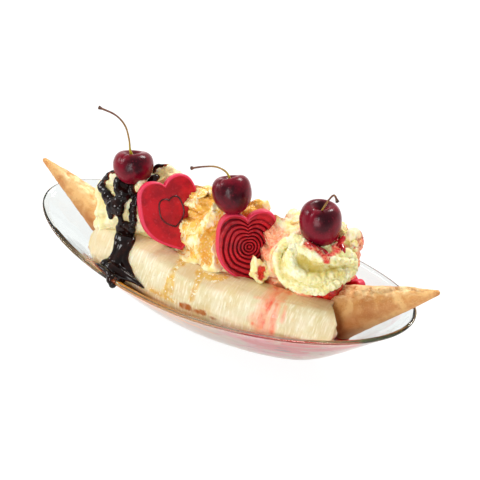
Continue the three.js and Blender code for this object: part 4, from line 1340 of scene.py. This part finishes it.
# over the banana and the rim of the glass, whose edge is these rings: share of the height, inset and rise
RIM_RINGS = ((0.93, 0, 0), (1, 0.2, 0.4), (1, 2.6, 0.4), (0.93, 3.2, 0))
RIM_SIDES = 400
rim_points = np.vstack([hull_ring(*ring, turns(RIM_SIDES)) for ring in RIM_RINGS])
rim_faces = ring_faces(len(RIM_RINGS), RIM_SIDES, closed_ends=False)
rim_tree = BVHTree.FromPolygons(rim_points.tolist(), rim_faces)
CHOCOLATE_BAND = [
    [(-57.8, -17.0, 50.5, 2.6), (-56.8, -21.9, 50, 2.4), (-55.6, -25.3, 48, 2.3), (-54.9, -28.3, 45.5, 2.3),
     (-55.6, -30.7, 42, 2.5), (-56.8, -31.5, 38.5, 2.8)],
    [(-54.1, -16.6, 51, 4.4), (-51.8, -21.2, 51, 4.4), (-50.9, -24.9, 49, 4.0), (-50.6, -28.1, 46.5, 3.8),
     (-51, -30.5, 43.5, 4.0), (-50.8, -32.5, 39.5, 4.4)],
    [(-50.6, -17.5, 51.5, 2.4), (-48.4, -20.4, 51, 2.3), (-47.6, -23.9, 49.5, 2.1), (-47.6, -27.5, 47, 2.0),
     (-47.3, -30.1, 44.5, 2.2), (-45.3, -31.9, 42, 2.2), (-42.4, -33.3, 39.8, 2.4),
     (-39.4, -34.5, 38, 2.1)],
]
CHOCOLATE_RIM = [
    [(-59.5, -34.6, 41.6, 2.0), (-57, -37, 41.4, 2.6), (-53.6, -39, 41.2, 2.8), (-50, -41.6, 41, 2.6),
     (-47.2, -44, 40.6, 2.3), (-45.6, -45.6, 38.8, 2.1)],
]
CHOCOLATE_TAIL = [
    (-52, -36, 40.4, 3.4), (-47, -36.8, 40, 3.2), (-42, -37.2, 39.3, 2.6), (-38, -37.2, 38.6, 2.0),
    (-34.8, -37, 37.6, 1.5), (-32.2, -36.9, 36.4, 1.1), (-30, -36.8, 35.3, 0.7),
]
# the pool between them, and the drop outside the rim: centre, then radius across and up
CHOCOLATE_POOL = [
    ((-57, -33.5, 38.6), (3.8, 3.4)), ((-52.5, -34.5, 38.4), (4.6, 3.6)), ((-46.5, -36, 38), (4.4, 3.2)),
    ((-53, -34.5, 35.5), (5, 4)), ((-47, -36, 35.4), (4.6, 3.4)), ((-44.4, -46, 38.2), (2.3, 2.6)),
]
band_lumps = strands(near_banana_tree, CHOCOLATE_BAND, 120) + strands(rim_tree, CHOCOLATE_RIM, 130)
band_lumps += rope(CHOCOLATE_TAIL, 0.7) + [blob(*lump) for lump in CHOCOLATE_POOL]

cap = sauce_mesh("chocolate_cap", cap_lumps, [left_tree], chocolate)
band = sauce_mesh("chocolate_run", band_lumps, [near_banana_tree, rim_tree], chocolate)
belongs(cap, "chocolate")
belongs(band, "chocolate", "chocolate_sauce")

# ------------------------------------------------------------------ fruit sauce


def fruit_sauce_look():
    look = Look("fruit_sauce", Roughness=0.08, Subsurface_Weight=0.2, Subsurface_Scale=0.002, Coat_Weight=0.4)
    base = look.mix(look.patches(0.35, 0.65, 3, 3), (150, 14, 26), (196, 34, 38))
    look.set(Base_Color=look.mix(look.attribute("thin"), base, (232, 92, 78)))
    look.bump(look.noise(3, 2), strength=0.2, distance=0.5)
    return look


right_tree = tree_of(right_scoop)
FRUIT_RUNS = [
    [(66, 2, 84, 2.2), (71.3, 1.1, 84, 2.0), (73.8, 3.3, 85, 1.3)],
    [(74, 0, 82, 1.8), (77.5, -2.5, 82, 1.5), (78.3, -4.2, 80, 1.0)],
    [(80, -3, 72, 1.5), (80.5, -4, 68, 1.7), (79.5, -5, 64, 1.3)],
    [(77.5, -6, 60, 2.2), (76, -8, 56, 2.8), (74.5, -10, 52.5, 2.8)],
]
FRUIT_DRIP = [
    (59.5, -10.8, 85.4, 1.6), (62.6, -12.0, 85.8, 1.7), (66, -11.6, 84.6, 1.6), (69, -9.4, 82.6, 1.6),
    (72.2, -10.6, 81.8, 1.5), (73.6, -11.4, 80.4, 1.1),
]
fruit_lumps = strands(right_tree, FRUIT_RUNS, 140) + rope(FRUIT_DRIP, 0.6)
belongs(sauce_mesh("fruit_sauce", fruit_lumps, [right_tree], fruit_sauce_look().material), "berry_vanilla")

# ------------------------------------------------------------------ cherries

CHERRIES = [
    {
        "name": "cherry_left", "centre": (-59.5, 0, 85.5), "radius": 11.66, "stretch": 0.93,
        "lean": (-0.22, 0.38, 1),
        "stem": [
            (-61.2, 0, 95), (-61.8, 0, 103), (-64.2, 0, 111.3), (-70.5, 0, 116.2), (-81.4, 0, 117.4),
        ],
    },
    {
        "name": "cherry_middle", "centre": (5.7, 0, 91.4), "radius": 11.13, "stretch": 1.12,
        "lean": (-0.42, 0.36, 1),
        "stem": [
            (3.4, 0.9, 100.5), (0.8, 0.6, 104.0), (-5.0, 0.3, 104.9), (-12.5, 0, 102.4), (-20.6, 0, 98.4),
        ],
    },
    {
        "name": "cherry_right", "centre": (61.5, 0, 92.7), "radius": 11.74, "stretch": 1.26,
        "lean": (-0.06, 0.12, 1),
        "stem": [
            (63.2, -2.0, 102.5), (66.4, -5.0, 108.6), (70, -6.5, 115.5), (73.2, -7, 119.6),
            (75.6, -7.5, 116.5),
        ],
    },
]
# half outline of a cherry of radius 1, from its foot to the floor of its stem bowl: distance out and height
CHERRY_OUTLINE = [
    (0, -0.93), (0.25, -0.92), (0.5, -0.82), (0.75, -0.6), (0.92, -0.3), (0.985, 0), (0.97, 0.28),
    (0.88, 0.52), (0.72, 0.68), (0.55, 0.735), (0.4, 0.71), (0.25, 0.6), (0.1, 0.45), (0, 0.4),
]
CHERRY_SIDES, STEM_SIDES = 140, 20


def make_cherry(cherry, material):
    """A cherry without a stone, with a seam down one side and a bowl where its stem stands."""
    outline = resample(CHERRY_OUTLINE, 0.035)[1:-1]
    turn = turns(CHERRY_SIDES)
    crown = smoothstep(-0.1, 0.6, outline[:, 1])[:, None]
    seam = bell(np.abs(np.sin((turn - 4.6) / 2)), 0.055)[None, :]
    out = outline[:, :1] * (1 + 0.012 * np.cos(2 * turn + 1) + 0.01 * np.cos(3 * turn)) - 0.02 * seam * crown
    high = outline[:, 1:] * cherry["stretch"] + crown * (0.02 * np.cos(2 * turn) - 0.03 * seam)
    rings = np.stack([out * np.cos(turn), out * np.sin(turn), high], -1) * cherry["radius"]
    tilt = np.array(Vector((0, 0, 1)).rotation_difference(Vector(cherry["lean"])).to_matrix())
    rings = rings @ tilt.T + np.asarray(cherry["centre"])
    obj = stack(cherry["name"] + "_fruit", rings[0].mean(axis=0), rings, rings[-1].mean(axis=0), material)
    p = points_of(obj)
    move_points(obj, p + unit(p - cherry["centre"]) * (0.14 * noise(p, 5, 150, 2))[:, None])
    # the stem bowl, which the look paints near black as painted shade
    bowl = np.zeros(len(p))
    bowl[1:-1] = np.repeat(smoothstep(0.62, 0.42, outline[:, 0]) * (outline[:, 1] > 0), CHERRY_SIDES)
    bowl[-1] = 1
    mask(obj, "bowl", bowl)
    return obj


def make_stem(cherry, material):
    centre = np.array(cherry["centre"], float)
    root = centre + unit(cherry["lean"]) * cherry["radius"] * cherry["stretch"] * 0.4
    path = resample([root, *cherry["stem"]], 0.6)
    along = np.linspace(0, 1, len(path))
    thick = 0.62 - 0.12 * np.sin(math.pi * along) + 0.06 * noise(path, 2.0, 160, 2)
    thick = thick + 0.5 * smoothstep(0.94, 1.0, along) + 0.55 * smoothstep(0.22, 0.0, along)
    obj = tube(
        cherry["name"] + "_stem", path, thick, STEM_SIDES, (0.2, 1, 0.1), material, overshoot=(0.2, 0.5)
    )
    mask(obj, "along", np.concatenate([[0], np.repeat(along, STEM_SIDES), [1]]))
    return obj


def cherry_look():
    look = Look("cherry_skin", IOR=1.42, Specular_IOR_Level=0.28)
    base = look.mix(look.patches(0.36, 0.62, 11, 3), (44, 3, 14), (106, 3, 26))
    specks = look.noise(0.9, 2, 0.5)
    base = look.mix(look.spread(specks, 0.58, 0.75), base, (164, 26, 58), 0.3)
    # painted shade in the stem bowl
    base = look.mix(look.attribute("bowl"), base, (34, 3, 10), 0.8)
    # painted glow: the skin turns redder towards its outline as seen from the camera
    rim = look.node("ShaderNodeLayerWeight", Blend=0.3).outputs["Facing"]
    base = look.mix(rim, base, (168, 10, 40), 0.6)
    look.set(Base_Color=base, Roughness=look.math("ADD", 0.15, look.times(look.noise(4, 3), 0.16)))
    look.bump(look.noise(1.2, 3), look.noise(5, 2), strength=0.24, distance=0.4)
    return look


def stem_look():
    look = Look("cherry_stem", Roughness=0.55)
    along = look.attribute("along")
    base = look.mix(look.spread(along, 0.1, 0.35), (196, 176, 40), (150, 112, 44))
    base = look.mix(look.spread(along, 0.4, 0.75), base, (98, 52, 30))
    base = look.mix(look.spread(along, 0.94, 0.99), base, (66, 30, 20))
    look.set(Base_Color=look.mix(look.patches(0.55, 0.7, 1.2, 3), base, (166, 124, 66)))
    look.bump(look.noise(0.7, 3), strength=0.5, distance=0.2)
    return look


cherry_skin, cherry_stem = cherry_look().material, stem_look().material
for shape in CHERRIES:
    belongs(make_cherry(shape, cherry_skin), "cherry_skin", shape["name"])
    belongs(make_stem(shape, cherry_stem), "cherry_skin")

# ------------------------------------------------------------------ wafer cones

WAFER, TIP_RADIUS, CONE_SIDES, CONE_ROWS = 1.9, 1.1, 180, 130
CONES = {
    "cone_left": {
        "tip": (-124.8, 2.5, 65.5), "towards": (-89.3, 2.5, 43.4), "length": 64.0, "radius": 12.6,
        "seed": 190,
    },
    "cone_right": {
        "tip": (133.4, 3, 72.7), "towards": (74.4, 3, 34.1), "length": 71.0, "radius": 14.0, "seed": 195,
    },
}


def make_cone(name, material):
    """A hollow rolled cone: over one turn the wafer thins out to its lap, and its mouth is frayed."""
    cone = CONES[name]
    sides, turn = CONE_SIDES, turns(CONE_SIDES)
    seed = cone["seed"]

    def ring(row, inside):
        base = TIP_RADIUS + (cone["radius"] - TIP_RADIUS) * row
        along = cone["length"] * row * np.ones(sides)
        spot = np.stack([np.cos(turn) * base, np.sin(turn) * base, along], -1)
        if inside:
            radius = np.full(sides, max(0.4, base - WAFER))
        else:
            start = 0.10 * noise(np.stack([np.full(sides, 3.0), np.zeros(sides), along], -1), 3.4, seed, 3)
            share = np.mod(turn / (2 * math.pi) + start, 1.0)
            lap = WAFER * 0.8 * (1 - share) ** 0.9 * min(1.0, row * 3)
            radius = base + lap + 0.28 * noise(spot, 7, seed + 1, 3) * row**0.5
            radius = radius + 0.10 * noise(spot, 1.6, seed + 2, 2)
            if row > 0.9:
                radius = radius + 0.35 * (row - 0.9) * 10 * noise(spot, 2.4, seed + 3, 2)
        fray = 0.8 * np.sin(3 * turn) * np.cos(5 * turn + 1) + 0.7 * noise(spot, 2.2, seed + 4, 2)
        high = along + smoothstep(0.93, 1.0, row) * fray
        return np.stack([radius * np.cos(turn), radius * np.sin(turn), high], -1)

    rings = [ring(row, False) for row in (0.008, 0.018, *np.linspace(0.035, 1, CONE_ROWS))]
    outer_points = 1 + len(rings) * sides
    rings += [ring(row, True) for row in (0.995, *np.linspace(0.97, 0.2, 26))]
    rings[0] = rings[0] * (0.62, 0.62, 1)
    obj = stack(name + "_wafer", (0, 0, 0.0), rings, (0, 0, cone["length"] * 0.17), material)
    p = points_of(obj)
    along = p[:, 2] / cone["length"]
    axis_spot = p * (0, 0, 1)
    direction = Vector(cone["towards"]) - Vector(cone["tip"])
    turned = np.array(Vector((0, 0, 1)).rotation_difference(direction).to_matrix())
    axis_spot, p = axis_spot @ turned.T + cone["tip"], p @ turned.T + cone["tip"]
    # flaky rolled layers along the top, which the look also paints paler as painted light from above
    out = unit(p - axis_spot)
    high = smoothstep(0.60, 0.86, out[:, 2] + 0.13 * noise(p, 5, seed + 5, 3)) * smoothstep(0.05, 0.3, along)
    flaked = high * (0.55 + 0.45 * smoothstep(-0.2, 0.3, noise(p * (0.6, 1, 1), 2.4, seed + 6, 3)))
    outer = np.arange(len(p)) < outer_points
    move_points(obj, p + out * (0.75 * flaked * outer)[:, None])
    mask(obj, "top", flaked * outer)
    # the downward-facing side, which the look paints darker brown as painted shade
    under = smoothstep(0.55, -0.1, out[:, 2] + 0.25 * noise(p, 8, seed + 8, 2))
    mask(obj, "under", under * (0.35 + 0.65 * smoothstep(0.3, 0.9, along)))
    mouth = 0.8 * smoothstep(0.86, 1.02, along + 0.05 * noise(p, 4, seed + 7, 2)) * (1 - high)
    mask(obj, "rim", np.where(outer, mouth, 1.0))
    return obj


def wafer_look():
    look = Look("wafer", Roughness=0.65, Subsurface_Weight=0.08, Subsurface_Scale=0.002)
    warm = look.noise(9, 4, 0.6, None, 0.6)
    base = look.mix(look.spread(warm, 0.38, 0.62), (230, 182, 116), (208, 146, 78))
    base = look.mix(look.patches(0.50, 0.64, 16, 3), base, (180, 108, 48), 0.7)
    fine = look.noise(0.8, 4, 0.7)
    base = look.mix(look.spread(fine, 0.5, 0.75), base, (250, 212, 150), 0.5)
    base = look.mix(look.patches(0.60, 0.70, 1.6, 3), base, (184, 116, 58), 0.5)
    # painted shade on the underside
    base = look.mix(look.attribute("under"), base, (162, 94, 42), 0.7)
    # pale on the top: partly the wafer's flaky layers, partly painted light from above
    flakes_and_top_light = look.times(look.attribute("top"), look.patches(0.36, 0.56, 2.6, 4, 0.65, (0.5, 1, 1)))
    base = look.mix(flakes_and_top_light, base, (254, 226, 172), 0.9)
    base = look.mix(look.attribute("rim"), base, (150, 84, 40), 0.6)
    look.set(Base_Color=base)
    look.bump(fine, look.noise(2.2, 3), strength=0.6, distance=0.45)
    return look


wafer = wafer_look().material
for name in CONES:
    belongs(make_cone(name, wafer), "wafer", name)

# ------------------------------------------------------------------ floor and light

FLOOR_GREY, FLOOR_GLOW, FLOOR_SIZE, FLOOR_DROP = 0.14, 0.92, 6, 0.0002
SKY_BRIGHT, SKY_DIM, LIGHT_BOUNCES = 0.75, 0.45, 24


def make_stage():
    bpy.ops.mesh.primitive_plane_add(size=FLOOR_SIZE, location=(0, 0, -FLOOR_DROP))
    floor = bpy.context.object
    floor.name = "floor"
    look = Look("floor", Roughness=0.9, Specular_IOR_Level=0.1, Emission_Strength=FLOOR_GLOW)
    look.set(Base_Color=(FLOOR_GREY, FLOOR_GREY, FLOOR_GREY, 1), Emission_Color=(1, 1, 1, 1))
    floor.data.materials.append(look.material)


def area_light(name, position, size, power, tint=(1, 1, 1)):
    data = bpy.data.lights.new(name, "AREA")
    data.shape = "RECTANGLE"
    data.size, data.size_y = size
    data.energy = power
    data.color = tint
    lamp = bpy.data.objects.new(name, data)
    lamp.location = position
    lamp.rotation_mode = "QUATERNION"
    lamp.rotation_quaternion = (Vector((0, 0, 0.05)) - Vector(position)).to_track_quat("-Z", "Y")
    bpy.context.scene.collection.objects.link(lamp)


make_stage()
area_light("key", (0.10, 0.85, 0.95), (0.45, 0.32), 13.0, (1.0, 0.985, 0.96))
area_light("window", (-0.95, -0.25, 0.70), (0.4, 0.4), 5.5, (0.97, 0.98, 1.0))
area_light("fill", (0.15, -1.15, 0.75), (0.3, 0.3), 4.2)
area_light("low_fill", (0.25, -1.3, 0.30), (0.5, 0.3), 4.0)


def make_sky():
    """A white room whose wall behind the viewer is dim, so that glossy things keep their colour."""
    world = bpy.data.worlds.new("world")
    bpy.context.scene.world = world
    world.use_nodes = True
    nodes, links = world.node_tree.nodes, world.node_tree.links
    where = nodes.new("ShaderNodeTexCoord")
    towards = nodes.new("ShaderNodeVectorMath")
    towards.operation = "DOT_PRODUCT"
    links.new(where.outputs["Generated"], towards.inputs[0])
    towards.inputs[1].default_value = unit((0.45, -0.72, 0.35)).tolist()
    dim = nodes.new("ShaderNodeMapRange")
    dim.interpolation_type = "SMOOTHSTEP"
    links.new(towards.outputs["Value"], dim.inputs["Value"])
    for name, value in (("From Min", -0.2), ("From Max", 0.75), ("To Min", SKY_BRIGHT), ("To Max", SKY_DIM)):
        dim.inputs[name].default_value = value
    links.new(dim.outputs["Result"], nodes["Background"].inputs["Strength"])
    nodes["Background"].inputs["Color"].default_value = (1, 1, 1, 1)


make_sky()
# light turns back and forth many times inside the glass's rim
for kind in ("max_bounces", "glossy_bounces", "transmission_bounces"):
    setattr(bpy.context.scene.cycles, kind, LIGHT_BOUNCES)
bpy.context.scene.view_settings.view_transform = "Standard"
